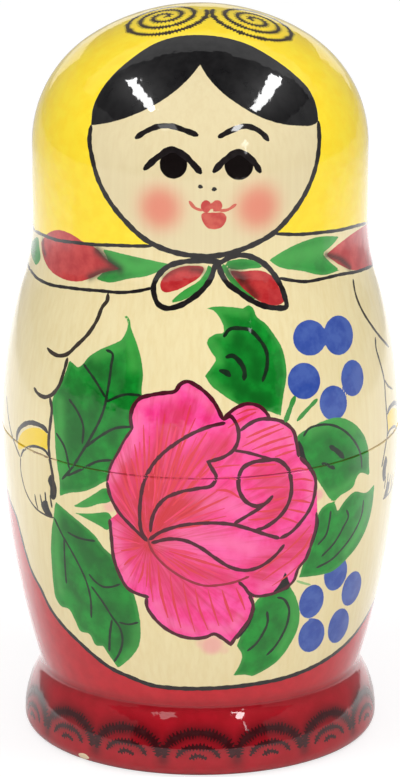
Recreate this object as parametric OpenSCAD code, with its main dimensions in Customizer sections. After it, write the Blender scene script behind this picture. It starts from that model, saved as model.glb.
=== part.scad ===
// Nesting doll of turned wood: five dolls, each standing inside the next larger one.
// A hollow doll is a bottom half with a thin tenon round its mouth, and a top half whose socket slides
// down over that tenon. The fifth and smallest doll is solid.
// Every piece is turned about the z axis, and the foot of the outer doll stands on z = 0.

/* [Outer doll] */
// Diameter of the belly, its widest ring
belly_d = 69.4; // [66:0.1:76]
// Height of that ring above the table, where the two halves meet
seam_z = 56; // [50:0.1:60]
// Height of the slope from that ring up to the neck
slope_h = 37; // [32:0.1:44]
// Height of the head, from the neck to the crown
head_h = 37; // [32:0.1:42]
// Step in from the belly to the head, which is as wide as the neck
head_step = 5.5; // [4:0.1:8]
// Height of the rounded top of the head
dome_h = 23.8; // [21:0.1:26]
// What the crown rises above the round of the temples
crown_rise = 2.4; // [1.8:0.1:3.5]
// Share of the slope from belly to neck that bulges outwards, before the neck hollows it
shoulder_share = 0.69; // [0.5:0.01:0.8]

/* [Foot] */
// Step in from the belly to the foot, a roll under the skirt
foot_step = 3.7; // [2.5:0.1:5.5]
// Radius of the foot's lower edge
foot_edge_r = 2.5; // [1.5:0.1:4]
// Step in from the foot to the skirt's hem, where it meets the groove
hem_step = 2.6; // [2:0.1:4]
// Height of the groove's lower edge
groove_z = 11.4; // [9:0.1:12]
// Width of the groove between the foot and the hem
groove_w = 2; // [1.2:0.1:2.4]
// Depth of the groove
groove_deep = 0.25; // [0.1:0.05:0.6]

/* [Walls] */
// Wall of a top half round its socket
socket_wall = 2; // [1.6:0.1:2.4]
// Wall of a bottom half's tenon
tenon_wall = 1.6; // [1.3:0.1:2]
// Height of the outer doll's tenon
tenon_h = 9; // [6:0.1:11]
// Bevel that leads a tenon into its socket
tenon_bevel = 0.6; // [0.2:0.1:1]
// Floor of a bottom half
floor_t = 13; // [12:0.1:15]
// Radius between a bottom half's floor and its wall
floor_fillet = 1.5; // [0.8:0.1:1.5]
// Wall of a top half at its crown
crown_wall = 4.2; // [3:0.1:6]
// Bevel on the edges that meet at a seam
seam_bevel = 0.2; // [0.1:0.05:0.4]

/* [Clearances] */
// Gap between a tenon and its socket
fit_gap = 0.06; // [0.02:0.01:0.1]
// Gap above a tenon, so that the halves close on the seam
tenon_end_gap = 0.4; // [0.2:0.1:1]
// Gap all round the doll inside
nest_gap = 2.5; // [1.8:0.1:3]
// Gap round the foot of the doll inside
seat_gap = 0.8; // [0.5:0.1:1]
// Room above the doll inside, on top of the gap all round it
head_room = 3.7; // [2.5:0.1:5]

/* [Hidden] */
$fn = 96;
// Chords that draw each arc of a half section
arc_steps = 12;
paint_red = "#b3202a";
paint_yellow = "#f2b632";
paint_cream = "#efe0bd";
// What a cut runs past the face that it opens
overrun = 1;
doll_h = seam_z + slope_h + head_h;
head_d = belly_d - 2 * head_step;
foot_d = belly_d - 2 * foot_step;
hem_d = foot_d - 2 * hem_step;
belly_wall = socket_wall + fit_gap + tenon_wall;
// What each doll loses to the next one, in radius and in height
radius_step = belly_wall + nest_gap;
height_step = floor_t + nest_gap + head_room + crown_wall;

// Doll n is counted from 1 for the outer one. Its sizes are in its own frame, with its foot at height 0.
function belly_r(n) = belly_d / 2 - (n - 1) * radius_step;
function height(n) = doll_h - (n - 1) * height_step;
function stand_z(n) = (n - 1) * floor_t;
// Shares of the outer doll's widths and heights
function across(n) = belly_r(n) / belly_r(1);
function along(n) = height(n) / height(1);

function foot_r(n) = foot_d / 2 * across(n);
function edge_r(n) = foot_edge_r * across(n);
function hem_r(n) = hem_d / 2 * across(n);
function groove_from(n) = groove_z * along(n);
function groove_to(n) = (groove_z + groove_w) * along(n);
function seam_at(n) = seam_z * along(n);
function tenon_top(n) = (seam_z + tenon_h) * along(n);
function head_r(n) = head_d / 2 * across(n);
function neck_z(n) = (doll_h - head_h) * along(n);
// The dome keeps its shape, so its height follows the width of the head
function dome(n) = dome_h * across(n);
function temple_z(n) = height(n) - dome(n);
// The temples' arc stops short of the dome's height, or passes it where the dome is taller than a half ball.
// The crown is the arc that closes the dome without a corner.
function short_of_dome(n) = crown_rise * across(n) * (dome(n) > head_r(n) ? -1 : 1);
function temple_r(n) = dome(n) - short_of_dome(n);
function top_r(n) = head_r(n) + (head_r(n) - dome(n)) ^ 2 / (2 * short_of_dome(n));
// Bore of doll n's mouth, which lets the next doll through
function mouth_r(n) = belly_r(n) - belly_wall;
function tenon_r(n) = mouth_r(n) + tenon_wall;
function socket_r(n) = tenon_r(n) + fit_gap;

// Radius of the arc that leaves an upright line and falls in by `inwards` over a height of `rise`
function arc_r(inwards, rise) = (inwards ^ 2 + rise ^ 2) / (2 * inwards);

// Points along the arc about `centre`, between two angles from the horizontal. Its first point is left
// out, because the outline is already there.
function arc(centre, r, from, to) = [
    for (i = [1:arc_steps])
        let (a = from + (to - from) * i / arc_steps)
        centre + r * [cos(a), sin(a)]
];

// Outline of doll n from the middle of its base up to the seam, with a bevel there: the foot's edge and
// roll, the groove and the skirt
function lower_outline(n, bevel) =
    let (
        roll_r = arc_r(foot_r(n) - hem_r(n), groove_from(n) - edge_r(n)),
        roll_to = asin((groove_from(n) - edge_r(n)) / roll_r),
        groove_half = (groove_to(n) - groove_from(n)) / 2,
        groove_r = arc_r(groove_deep * across(n), groove_half),
        groove_a = asin(groove_half / groove_r),
        groove_c = [hem_r(n) + groove_r * cos(groove_a), groove_from(n) + groove_half],
        skirt_r = arc_r(belly_r(n) - hem_r(n), seam_at(n) - groove_to(n)),
        skirt_from = -asin((seam_at(n) - groove_to(n)) / skirt_r)
    )
    concat(
        [[0, 0], [foot_r(n) - edge_r(n), 0]],
        arc([foot_r(n) - edge_r(n), edge_r(n)], edge_r(n), -90, 0),
        arc([foot_r(n) - roll_r, edge_r(n)], roll_r, 0, roll_to),
        arc(groove_c, groove_r, 180 + groove_a, 180 - groove_a),
        arc([belly_r(n) - skirt_r, seam_at(n)], skirt_r, skirt_from, -asin(bevel / skirt_r))
    );

// Outline of doll n from the seam up to the crown, with a bevel at the seam, grown outwards by `grow`.
// Shoulder and neck meet without a corner, and so do temple and crown. Growing keeps each centre, so
// they still do.
function upper_outline(n, bevel, grow) =
    let (
        slope_r = arc_r(belly_r(n) - head_r(n), neck_z(n) - seam_at(n)),
        slope_a = asin((neck_z(n) - seam_at(n)) / slope_r),
        shoulder_r = shoulder_share * slope_r,
        neck_r = slope_r - shoulder_r,
        crown_c = [0, height(n) - top_r(n)],
        temple_a = asin((temple_z(n) - crown_c[1]) / (top_r(n) - temple_r(n)))
    )
    concat(
        [[belly_r(n) + grow, seam_at(n) + bevel]],
        arc([belly_r(n) - shoulder_r, seam_at(n)], shoulder_r + grow, asin(bevel / shoulder_r), slope_a),
        arc([head_r(n) + neck_r, neck_z(n)], neck_r - grow, 180 + slope_a, 180),
        [[head_r(n) + grow, temple_z(n)]],
        arc([head_r(n) - temple_r(n), temple_z(n)], temple_r(n) + grow, 0, temple_a),
        arc(crown_c, top_r(n) + grow, temple_a, 90)
    );

// Room for the next doll in doll n's bottom half: a round floor, a seat for its foot, and a cone that
// opens to the mouth
module bottom_hollow(n) {
    seat_r = foot_r(n + 1) + seat_gap;
    fillet_c = [seat_r - floor_fillet, floor_t + floor_fillet];
    polygon(concat(
        [[0, floor_t], [fillet_c[0], floor_t]],
        arc(fillet_c, floor_fillet, -90, 0),
        [[seat_r, floor_t + groove_to(n + 1)], [mouth_r(n), seam_at(n)]],
        [[mouth_r(n), tenon_top(n) + overrun], [0, tenon_top(n) + overrun]]
    ));
}

// Room for the next doll in doll n's top half, which follows the shape of that doll
module top_hollow(n) {
    lift = floor_t + head_room;
    below = seam_at(n) - overrun - lift;
    translate([0, lift])
        polygon(concat([[0, below], [mouth_r(n), below]], upper_outline(n + 1, 0, nest_gap)));
}

// Socket in doll n's top half
module socket(n) {
    translate([0, seam_at(n) - overrun])
        square([socket_r(n), tenon_top(n) + tenon_end_gap - seam_at(n) + overrun]);
}

// Tenon on doll n's bottom half, from the bevelled seam up
function tenon_outline(n) = [
    [belly_r(n) - seam_bevel, seam_at(n)], [tenon_r(n), seam_at(n)],
    [tenon_r(n), tenon_top(n) - tenon_bevel], [tenon_r(n) - tenon_bevel, tenon_top(n)], [0, tenon_top(n)]
];

module turned(n) {
    translate([0, 0, stand_z(n)])
        rotate_extrude()
            children();
}

module bottom_half(n) {
    turned(n) difference() {
        polygon(concat(lower_outline(n, seam_bevel), tenon_outline(n)));
        bottom_hollow(n);
    }
}

module top_half(n) {
    turned(n) difference() {
        polygon(concat(
            [[0, seam_at(n)], [belly_r(n) - seam_bevel, seam_at(n)]],
            upper_outline(n, seam_bevel, 0)
        ));
        top_hollow(n);
        socket(n);
    }
}

module solid_doll(n) {
    turned(n)
        polygon(concat(lower_outline(n, 0), upper_outline(n, 0, 0)));
}

module doll_1_bottom() { color(paint_red) bottom_half(1); }
module doll_1_top() { color(paint_yellow) top_half(1); }
module doll_2_bottom() { color(paint_red) bottom_half(2); }
module doll_2_top() { color(paint_yellow) top_half(2); }
module doll_3_bottom() { color(paint_red) bottom_half(3); }
module doll_3_top() { color(paint_yellow) top_half(3); }
module doll_4_bottom() { color(paint_red) bottom_half(4); }
module doll_4_top() { color(paint_yellow) top_half(4); }
module doll_5_solid() { color(paint_cream) solid_doll(5); }

doll_1_bottom();
doll_1_top();
doll_2_bottom();
doll_2_top();
doll_3_bottom();
doll_3_top();
doll_4_bottom();
doll_4_top();
doll_5_solid();
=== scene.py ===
"""Painted nesting doll of turned wood: five dolls, lacquered outside and bare inside.

Every painted shape is a short list of pixel points of the 400 x 777 photograph. The points
are carried back through the camera onto the outer doll's skin, as an angle round the axis and a length
along its outline, and the inner dolls take the same painting on their own smaller outlines.
"""

import math

import bpy
import numpy as np
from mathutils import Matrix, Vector


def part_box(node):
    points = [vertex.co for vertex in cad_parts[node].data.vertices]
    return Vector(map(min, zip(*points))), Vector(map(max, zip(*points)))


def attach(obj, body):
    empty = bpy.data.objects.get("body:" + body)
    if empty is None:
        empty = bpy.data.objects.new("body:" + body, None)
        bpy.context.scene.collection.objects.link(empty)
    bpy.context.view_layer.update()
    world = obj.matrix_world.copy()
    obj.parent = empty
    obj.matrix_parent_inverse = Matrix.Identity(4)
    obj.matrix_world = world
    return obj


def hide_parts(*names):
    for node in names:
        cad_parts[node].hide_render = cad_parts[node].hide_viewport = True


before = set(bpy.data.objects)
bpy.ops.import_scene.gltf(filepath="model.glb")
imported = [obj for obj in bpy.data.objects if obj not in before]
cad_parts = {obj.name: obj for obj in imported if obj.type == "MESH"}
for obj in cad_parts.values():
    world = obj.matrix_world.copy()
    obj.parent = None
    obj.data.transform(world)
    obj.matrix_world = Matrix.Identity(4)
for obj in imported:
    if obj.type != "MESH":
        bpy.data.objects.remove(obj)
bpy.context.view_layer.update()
bpy.context.scene.view_settings.view_transform = "Standard"

MM = 0.001
TURN = 2 * math.pi
# What keeps a division from meeting a zero
TINY = 1e-9

# Turned sizes of the outer doll in millimetres, with its foot at height 0
BELLY_R, SEAM_Z, HEIGHT = 34.7, 56.0, 130.0
HEAD_R, NECK_Z, DOME_H, CROWN_RISE, SHOULDER_SHARE = 29.2, 93.0, 23.8, 2.4, 0.69
FOOT_R, EDGE_R, HEM_R = 31.0, 2.5, 28.4
GROOVE_FROM, GROOVE_TO, GROOVE_DEEP = 11.4, 13.4, 0.25
SEAM_BEVEL = 0.2
SOCKET_WALL, TENON_WALL, FIT_GAP = 2.0, 1.6, 0.06
TENON_H, TENON_BEVEL, TENON_END_GAP = 9.0, 0.6, 0.4
FLOOR_T, FLOOR_FILLET, NEST_GAP, SEAT_GAP, HEAD_ROOM = 13.0, 1.5, 2.5, 0.8, 3.7
BELLY_WALL = SOCKET_WALL + FIT_GAP + TENON_WALL
# Radius of an arc so large that it stands for a straight line
STRAIGHT_R = 1e5

# The photograph's camera: sizes in millimetres and pixels
IMAGE_W, IMAGE_H = 400, 777
FOCAL_PX, CAMERA_AWAY, CAMERA_TILT = 7428.2, 1300.0, math.radians(17.14)
AIM_Z, AIM_PX = 65.0, (200.2, 368.8)
PX_PER_MM = FOCAL_PX / CAMERA_AWAY


# Outlines


def arc_radius(inwards, rise):
    """Radius of the arc that leaves an upright line and falls in by inwards over a height of rise."""
    return (inwards**2 + rise**2) / (2 * inwards)


def outline_arcs(across, along):
    """Arcs of a doll's outline from the foot's edge to the crown, as rows of centre r, centre z, radius,
    angle from, angle to, and +1 for a bulge or -1 for a hollow. The head's upright side is an arc so
    large that it is straight."""
    belly, head, foot, edge, hem = (v * across for v in (BELLY_R, HEAD_R, FOOT_R, EDGE_R, HEM_R))
    height, seam, neck = HEIGHT * along, SEAM_Z * along, NECK_Z * along
    low, high = GROOVE_FROM * along, GROOVE_TO * along
    roll = arc_radius(foot - hem, low - edge)
    half = (high - low) / 2
    groove = arc_radius(GROOVE_DEEP * across, half)
    groove_a = math.asin(half / groove)
    skirt = arc_radius(belly - hem, seam - high)
    slope = arc_radius(belly - head, neck - seam)
    slope_a = math.asin((neck - seam) / slope)
    shoulder = SHOULDER_SHARE * slope
    dome, rise = DOME_H * across, CROWN_RISE * across
    temple_z, temple = height - dome, dome - rise
    crown = head + (head - dome) ** 2 / (2 * rise)
    temple_a = math.asin((temple_z - height + crown) / (crown - temple))
    lean = (temple_z - neck) / 2 / STRAIGHT_R
    return np.array([
        [foot - edge, edge, edge, -math.pi / 2, 0, 1],
        [foot - roll, edge, roll, 0, math.asin((low - edge) / roll), 1],
        [hem + groove * math.cos(groove_a), low + half, groove, math.pi + groove_a, math.pi - groove_a, -1],
        [belly - skirt, seam, skirt, -math.asin((seam - high) / skirt), 0, 1],
        [belly - shoulder, seam, shoulder, 0, slope_a, 1],
        [head + slope - shoulder, neck, slope - shoulder, math.pi + slope_a, math.pi, -1],
        [head - STRAIGHT_R, (temple_z + neck) / 2, STRAIGHT_R, -lean, lean, 1],
        [head - temple, temple_z, temple, 0, temple_a, 1],
        [0, height - crown, crown, temple_a, math.pi / 2, 1],
    ])


OUTER = outline_arcs(1, 1)
ARC_LEN = OUTER[:, 2] * np.abs(OUTER[:, 4] - OUTER[:, 3])
ARC_AT = np.concatenate([[0], np.cumsum(ARC_LEN)])
# Outline lengths at the top of the foot's roll, of the groove and of the skirt, at the temple and the crown
T_ROLL, T_GROOVE, T_SEAM, T_TEMPLE, T_CROWN = ARC_AT[[2, 3, 4, 7, 9]]


def outline(arcs, t, grow=0.0):
    """Radius, height and outward normal at length t of the outer doll's outline, taken on the same arc
    and at the same share of it on any doll: centre plus radius times (cos a, sin a)."""
    i = np.clip(np.searchsorted(ARC_AT, t, "right") - 1, 0, len(arcs) - 1)
    share = (t - ARC_AT[i]) / ARC_LEN[i]
    a = arcs[i, 3] + (arcs[i, 4] - arcs[i, 3]) * share
    sign, c, s = arcs[i, 5], np.cos(a), np.sin(a)
    reach = arcs[i, 2] + sign * grow
    return arcs[i, 0] + reach * c, arcs[i, 1] + reach * s, sign * c, sign * s


TABLE_STEPS = 6000
T_TABLE = np.linspace(0, T_CROWN, TABLE_STEPS)
R_TABLE, Z_TABLE, _, NZ_TABLE = outline(OUTER, T_TABLE)
# The dome, and the height above which it slopes so little that a length is read from the radius
DOME = T_TABLE > T_TEMPLE
LITTLE_SLOPE = 0.7
Z_FLAT = Z_TABLE[np.argmax(DOME & (NZ_TABLE > LITTLE_SLOPE))]


def along_outline(rho, z):
    """Outline length of points on the skin: read from the height on the sides, from the radius on top."""
    low = np.interp(z, Z_TABLE, T_TABLE)
    high = np.interp(-rho, -R_TABLE[DOME], T_TABLE[DOME])
    return np.where(z > Z_FLAT, high, low)


# Photograph to skin

PITCH_DOWN = CAMERA_TILT + math.atan((IMAGE_H / 2 - AIM_PX[1]) / FOCAL_PX)
CAMERA_AT = np.array([
    (IMAGE_W / 2 - AIM_PX[0]) / PX_PER_MM,
    -CAMERA_AWAY * math.cos(CAMERA_TILT),
    AIM_Z + CAMERA_AWAY * math.sin(CAMERA_TILT),
])
# Where a sight line is followed, from before the doll's axis to behind it, and in how many steps
SIGHT_NEAR, SIGHT_FAR, SIGHT_STEPS = 60, 45, 700
# Radius that stands for the air over the crown and under the foot
NO_DOLL_R = -5


def on_skin(px):
    """Angle and outline length where the sight lines of pixels first meet the outer doll: the first step
    along each line that lies inside the outline, or the nearest one for a line that passes it by."""
    px = np.asarray(px, float)
    right, up = (px[:, 0] - IMAGE_W / 2) / FOCAL_PX, (IMAGE_H / 2 - px[:, 1]) / FOCAL_PX
    c, s = math.cos(PITCH_DOWN), math.sin(PITCH_DOWN)
    ray = np.stack([right, c + up * s, up * c - s], 1)
    far = np.linspace(CAMERA_AWAY - SIGHT_NEAR, CAMERA_AWAY + SIGHT_FAR, SIGHT_STEPS)
    line = CAMERA_AT + ray[:, None, :] * far[None, :, None]
    rho, z = np.hypot(line[..., 0], line[..., 1]), line[..., 2]
    gap = rho - np.interp(z, Z_TABLE, R_TABLE, left=NO_DOLL_R, right=NO_DOLL_R)
    inside = gap < 0
    meets = inside.any(1)
    hit = np.clip(np.where(meets, inside.argmax(1), gap.argmin(1)), 1, len(far) - 1)
    row = np.arange(len(px))
    before, after = gap[row, hit - 1], gap[row, hit]
    share = np.where(meets, before / np.maximum(before - after, TINY), 1.0)
    p = CAMERA_AT + ray * (far[hit - 1] + (far[hit] - far[hit - 1]) * share)[:, None]
    return np.stack([np.arctan2(p[:, 0], -p[:, 1]), along_outline(np.hypot(p[:, 0], p[:, 1]), p[:, 2])], 1)


# Two points of a path nearer than this, in pixels, are the same point
SAME_POINT = 1e-6


def smooth_path(points, closed=False, step=2.0):
    """A curve through given points: cubic Hermite spans whose slopes are chord-weighted means of
    the two neighbouring chords. A point written twice is a corner."""
    p = np.asarray(points, float)
    if closed:
        p = np.vstack([p, p[:1]])
    cuts = np.where(np.all(p[1:] == p[:-1], 1))[0] + 1
    out = []
    for part in np.split(p, cuts):
        if len(part) < 2:
            continue
        d = np.maximum(np.linalg.norm(np.diff(part, axis=0), axis=1), SAME_POINT)
        chord = np.diff(part, axis=0) / d[:, None]
        middle = (chord[:-1] * d[1:, None] + chord[1:] * d[:-1, None]) / (d[1:] + d[:-1])[:, None]
        slope = np.vstack([chord[:1], middle, chord[-1:]])
        if closed and len(cuts) == 0:
            slope[0] = slope[-1] = (chord[-1] * d[0] + chord[0] * d[-1]) / (d[0] + d[-1])
        for i, n in enumerate(np.maximum(2, np.ceil(d / step)).astype(int)):
            u = (np.arange(n) / n)[:, None]
            out.append(
                (2 * u**3 - 3 * u**2 + 1) * part[i]
                + (u**3 - 2 * u**2 + u) * d[i] * slope[i]
                + (3 * u**2 - 2 * u**3) * part[i + 1]
                + (u**3 - u**2) * d[i] * slope[i + 1]
            )
        out.append(part[-1:])
    path = np.vstack(out)
    keep = np.concatenate([[True], np.linalg.norm(np.diff(path, axis=0), axis=1) > SAME_POINT])
    return path[keep]


ELLIPSE_POINTS = 28


def ellipse(cx, cy, rx, ry, lean=0.0):
    """Closed outline of an ellipse whose top leans to the right by lean degrees."""
    a, b = np.linspace(0, TURN, ELLIPSE_POINTS, endpoint=False), math.radians(lean)
    x, y = rx * np.cos(a), ry * np.sin(a)
    return np.stack([cx + x * math.cos(b) - y * math.sin(b), cy + x * math.sin(b) + y * math.cos(b)], 1)


# Painted areas, in pixels

HAIR_TOP = [
    (91, 125), (93, 108), (100, 92), (113, 75), (131, 59), (156, 43), (180, 36), (202, 35), (224.5, 37.5),
    (247, 44), (274, 59), (294, 74), (310, 91), (316, 105), (318.5, 121),
]
FACE_LOWER = [
    (319.3, 142), (316, 166), (306.6, 191), (291, 215), (273, 233.5), (252.5, 245), (230.6, 253),
    (210, 256.3), (185, 254.6), (163, 248.7), (146, 240), (126, 222), (110.6, 203), (98.7, 181),
    (92, 157.5), (89.4, 141),
]
HAIR_LOWER = [
    (316.7, 122.8), (294.8, 125.6), (274, 122), (254, 114), (240.6, 106), (220.5, 91), (207, 76),
    (200, 64.5), (200, 64.5), (192, 75), (180, 87), (158, 103), (133.5, 115), (112, 122), (92, 125.4),
]
FACE = [HAIR_TOP + FACE_LOWER]
HAIR = [HAIR_TOP + [(318.5, 121)] + HAIR_LOWER + [(92, 125.4)]]

BAND_TOP = [
    (35, 231), (42, 234.4), (55, 239.5), (76.5, 242.7), (94, 244.6), (115, 245.3), (134, 246), (152, 246),
    (200, 248), (240, 241), (275, 233.8), (299.5, 234.4), (321, 232.5), (340, 230), (355.6, 226),
    (367, 223),
]
BAND_LOW = [
    (30, 269.5), (37, 278), (46, 283), (71, 288), (102, 291), (121, 292.5), (138, 291), (152, 288),
    (200, 285), (240, 281), (279, 278), (292, 280.4), (306, 281.6), (321, 279), (340, 274.6), (359, 271),
    (372, 266),
]
APRON = [
    (6, 484), (11, 503), (16.3, 516.7), (20.6, 533), (26, 553.6), (32.5, 573), (40, 587), (51.2, 609.8),
    (65, 627.8), (78.9, 641.7), (94, 655.5), (110.7, 668), (131.5, 677.6), (152.2, 685.3), (173, 688),
    (200, 688.7), (227.7, 687.3), (255.4, 683.9), (283, 678.3), (310.7, 668), (330, 656.9),
    (345.3, 644.4), (356.4, 632), (366, 617), (373, 603), (380, 584), (386, 560), (391, 530), (394, 500),
]

LEAF_LEFT = [
    (122, 313), (122, 313), (129, 318), (131, 328), (135, 338.5), (139, 350), (142, 364), (143, 374),
    (141.6, 389.5), (143, 405), (150, 440), (130, 478), (104, 482), (94.3, 487.4), (82.4, 491.8),
    (69.4, 492.9), (59.6, 496), (59.6, 496), (59.6, 482), (57.4, 466.8), (55.5, 449.4), (54.2, 424),
    (52.3, 401), (54.8, 392), (63.8, 376.7), (69.5, 360), (69.5, 360), (77.8, 367.8), (77.8, 367.8),
    (83, 364), (88, 357.6), (97, 351.2), (111, 344.8), (121, 340), (126, 332), (127.6, 322),
]
LEAF_TOP = [
    (206, 308), (206, 308), (215, 306.6), (230.6, 307), (243, 308.5), (243, 308.5), (248.5, 305),
    (253.6, 309), (256, 315.5), (266, 324), (275, 336), (281.6, 347), (285.5, 361), (286.5, 377),
    (284, 392), (282, 405), (281, 416), (281, 416), (271, 412), (261, 410), (251, 408), (242, 406),
    (230.6, 400), (219, 392), (211.5, 386), (205, 376), (205, 376), (213, 365), (216, 360),
    (211.5, 352.5), (207, 341), (214, 334.6), (224, 332), (223.6, 327), (219, 317), (214, 311),
]
LEAF_RIGHT = [
    (296, 437), (302, 432), (309.7, 428), (322.4, 421.4), (340.3, 417.6), (353, 422.7), (363.3, 434),
    (368.4, 449.4), (369, 463.5), (369.7, 475.5), (369.7, 475.5), (360.3, 472.9), (356.3, 478.2),
    (353.7, 486.2), (340.3, 495.6), (333.6, 501), (329.5, 498.3), (324.2, 490.3), (312, 472), (300, 455),
]
LEAF_RIGHT_LOW = [
    (374.5, 484), (374.5, 484), (372.4, 505), (367, 526.4), (357.7, 545.2), (345.6, 560), (330.9, 572),
    (313.5, 576), (299, 577.5), (299, 577.5), (302.8, 565.3), (310, 547.8), (315, 527.8), (320.2, 510.4),
    (325.5, 505), (333.6, 502.3), (337.6, 511.7), (337.6, 511.7), (347, 498.3), (355, 491.6),
    (365.7, 492.9),
]
LEAF_LEFT_LOW = [
    (55.3, 501.5), (55.3, 501.5), (60.7, 505.9), (69.4, 513.5), (82.4, 524.3), (95.4, 536.2), (104, 548),
    (112, 555.7), (122, 576), (134, 594.7), (138.4, 611.2), (140.5, 626.4), (138.4, 647), (128.7, 659.7),
    (118, 668), (118, 668), (109.3, 655.5), (103, 645.8), (103, 645.8), (96.9, 645.8), (88.6, 633.4),
    (81.7, 632), (74.7, 619.5), (67.8, 608.4), (62.3, 607), (56.7, 600), (53.3, 583.5), (51.9, 567),
    (51, 543.8), (52, 527.5), (53.6, 516.7),
]
SPRIG_UPPER = [
    (72.6, 506.4), (72.6, 506.4), (83.5, 500.4), (94.3, 493.9), (106, 488), (113, 494), (112, 500),
    (97.5, 504.2), (86.7, 507.5),
]
SPRIG_LOWER = [
    (74.8, 512.9), (74.8, 512.9), (86.7, 513.5), (97.5, 512.9), (109, 513), (112, 522), (107.5, 530),
    (99.7, 525.9), (86.7, 518.9),
]
LEAF_BOTTOM = [
    (288.6, 584), (288.6, 584), (295.5, 596), (299.6, 611.2), (298.3, 626.4), (290, 644.4), (277.5, 661),
    (263.7, 670.7), (252.6, 676.2), (252.6, 676.2), (245.7, 674.9), (233.2, 675.5), (233.2, 675.5),
    (238.7, 666.6), (242.2, 655.5), (236.7, 645.8), (236.7, 645.8), (243, 630), (248, 617), (255, 603),
    (266, 592), (280.3, 586),
]
BAND_LEAF_LEFT = [
    (96, 279), (104, 271), (108, 262), (102, 248.5), (102, 248.5), (127.6, 255), (153, 260.6),
    (171, 264.4), (171, 264.4), (150.5, 275), (127.6, 279), (108, 282.5),
]
BAND_LEAF_RIGHT = [
    (269, 260), (281.6, 252), (302, 242), (321, 236.4), (339, 236.4), (339, 236.4), (335, 242),
    (322.4, 253.6), (322.4, 253.6), (329, 261), (340, 270), (340, 270), (325, 275), (302, 271),
    (276.5, 265.7),
]
BAND_LEAF_LIMB = [(33, 240), (37, 237), (39.5, 248), (40, 260), (36.5, 265), (32, 257)]
BOW_GREEN = [
    (208.7, 265), (212.5, 269), (207.5, 281), (194, 294), (181, 301), (171, 302), (175, 297.5),
    (185, 289.6), (200, 279.8), (206, 271),
]
BOW_GREEN_RIGHT = [
    (221.5, 264), (226, 265.4), (229.3, 272.2), (236, 280), (247.8, 290.7), (256, 300), (247, 297),
    (233, 285), (225, 274),
]
BOW_GREEN_TOP = [
    (226, 263), (236, 259.5), (248, 259.3), (258, 262.5), (262, 266.5), (250, 268.6), (236, 269.6),
    (229, 268),
]
LEAVES = [
    LEAF_LEFT, LEAF_TOP, LEAF_RIGHT, LEAF_RIGHT_LOW, LEAF_LEFT_LOW, SPRIG_UPPER, SPRIG_LOWER, LEAF_BOTTOM,
    BAND_LEAF_LEFT, BAND_LEAF_RIGHT, BAND_LEAF_LIMB, BOW_GREEN, BOW_GREEN_RIGHT, BOW_GREEN_TOP,
]

ROSE = [[
    (107, 481), (111, 465), (117.6, 453), (125, 439), (131, 430), (131, 430), (130.6, 416), (133, 407),
    (139, 399), (151, 395), (163.5, 393), (175.7, 390.7), (180, 384.5), (186.4, 381.5), (197, 386),
    (206, 393), (214, 402), (219, 411), (222, 419), (222, 419), (226, 414), (234, 408), (244.6, 404.4),
    (255, 406), (264.5, 411), (269.5, 419), (269.5, 419), (281, 423), (290.5, 429), (296, 436),
    (297.4, 446.5), (299, 456.5), (306, 463), (312, 472.6), (316, 483), (317, 500), (316.5, 523),
    (312, 541), (307.4, 556.6), (299, 569), (293.6, 581), (281.3, 590.3), (267.6, 595), (253.8, 595.7),
    (253.8, 595.7), (253, 604), (250.7, 616.3), (243, 628.6), (235.4, 637.8), (231.6, 644.6),
    (231.6, 644.6), (221.6, 638), (212.5, 633), (206, 637), (194, 638.5), (177, 634.7), (163.5, 627),
    (153, 616), (147.4, 605.6), (146.6, 597.5), (146.6, 597.5), (140.5, 594.9), (128.3, 588.8),
    (119, 573.5), (113.7, 558.2), (111.4, 538.3), (110, 520), (117, 514), (117, 514), (110, 498.6),
]]
# Centre x, y, half width, half height and lean
BERRIES = [
    (309.7, 337.8, 16.6, 17.9, 0), (338.4, 335.3, 14.7, 19.8, 0), (304, 381, 16.3, 18.2, 0),
    (352.4, 378, 11.2, 18.2, 0), (333.3, 403, 13.7, 17.5, 0), (335.6, 573, 11, 18, 15),
    (351.5, 588.5, 8.6, 18, 18), (311.4, 601.5, 11.6, 17.3, 20), (338.4, 625.7, 9.4, 18, 18),
    (311.4, 635.4, 12.3, 17.3, 22),
]
BUD_LEFT = [
    (41, 242), (49, 232.5), (57, 230), (71, 234), (82, 241), (97, 249), (106, 259), (120, 269),
    (120, 269), (102, 273), (89, 279), (76.5, 281.6), (61, 278), (50, 270), (43, 256),
]
BUD_RIGHT = [
    (325.6, 255), (325.6, 255), (340, 243), (357, 230.6), (369, 224), (374, 250), (375, 264), (359, 270),
    (352, 270), (340, 265),
]
BOW_RED_LEFT = [
    (161, 289.5), (160.4, 283), (166.3, 274.3), (178.3, 267.6), (193.5, 265.6), (204, 267.6),
    (201, 275.4), (189, 284), (174, 291), (164, 292),
]
BOW_RED_RIGHT = [
    (231, 271), (242, 271.5), (252, 270.4), (263, 271.2), (272, 276), (279.5, 288), (284, 302),
    (276, 305.4), (263, 303), (252, 296), (240, 285),
]
RED_FLOWERS = [BUD_LEFT, BUD_RIGHT, BOW_RED_LEFT, BOW_RED_RIGHT]
BRACELET = [
    (18, 441), (23.8, 431), (33, 427.5), (41, 429), (48, 435.5), (47, 450), (38, 447), (32.5, 446),
    (24, 447.5), (19.5, 450),
]
DARK_PATCHES = [
    [(285.8, 571), (288.6, 580.8), (290.6, 586), (280.3, 592), (270.6, 594), (270.6, 594), (278, 586.5)],
    [(257, 604), (257, 604), (250, 624), (243, 634), (235, 642), (235, 642), (240, 632), (249, 619)],
    [(299, 440), (303, 447), (306, 458), (312, 467), (317, 478), (312, 474), (304, 462), (299, 455)],
    [(316.5, 512), (319, 520), (316, 536), (309, 553), (303, 563), (307, 552), (313, 538), (316, 524)],
]
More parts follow.
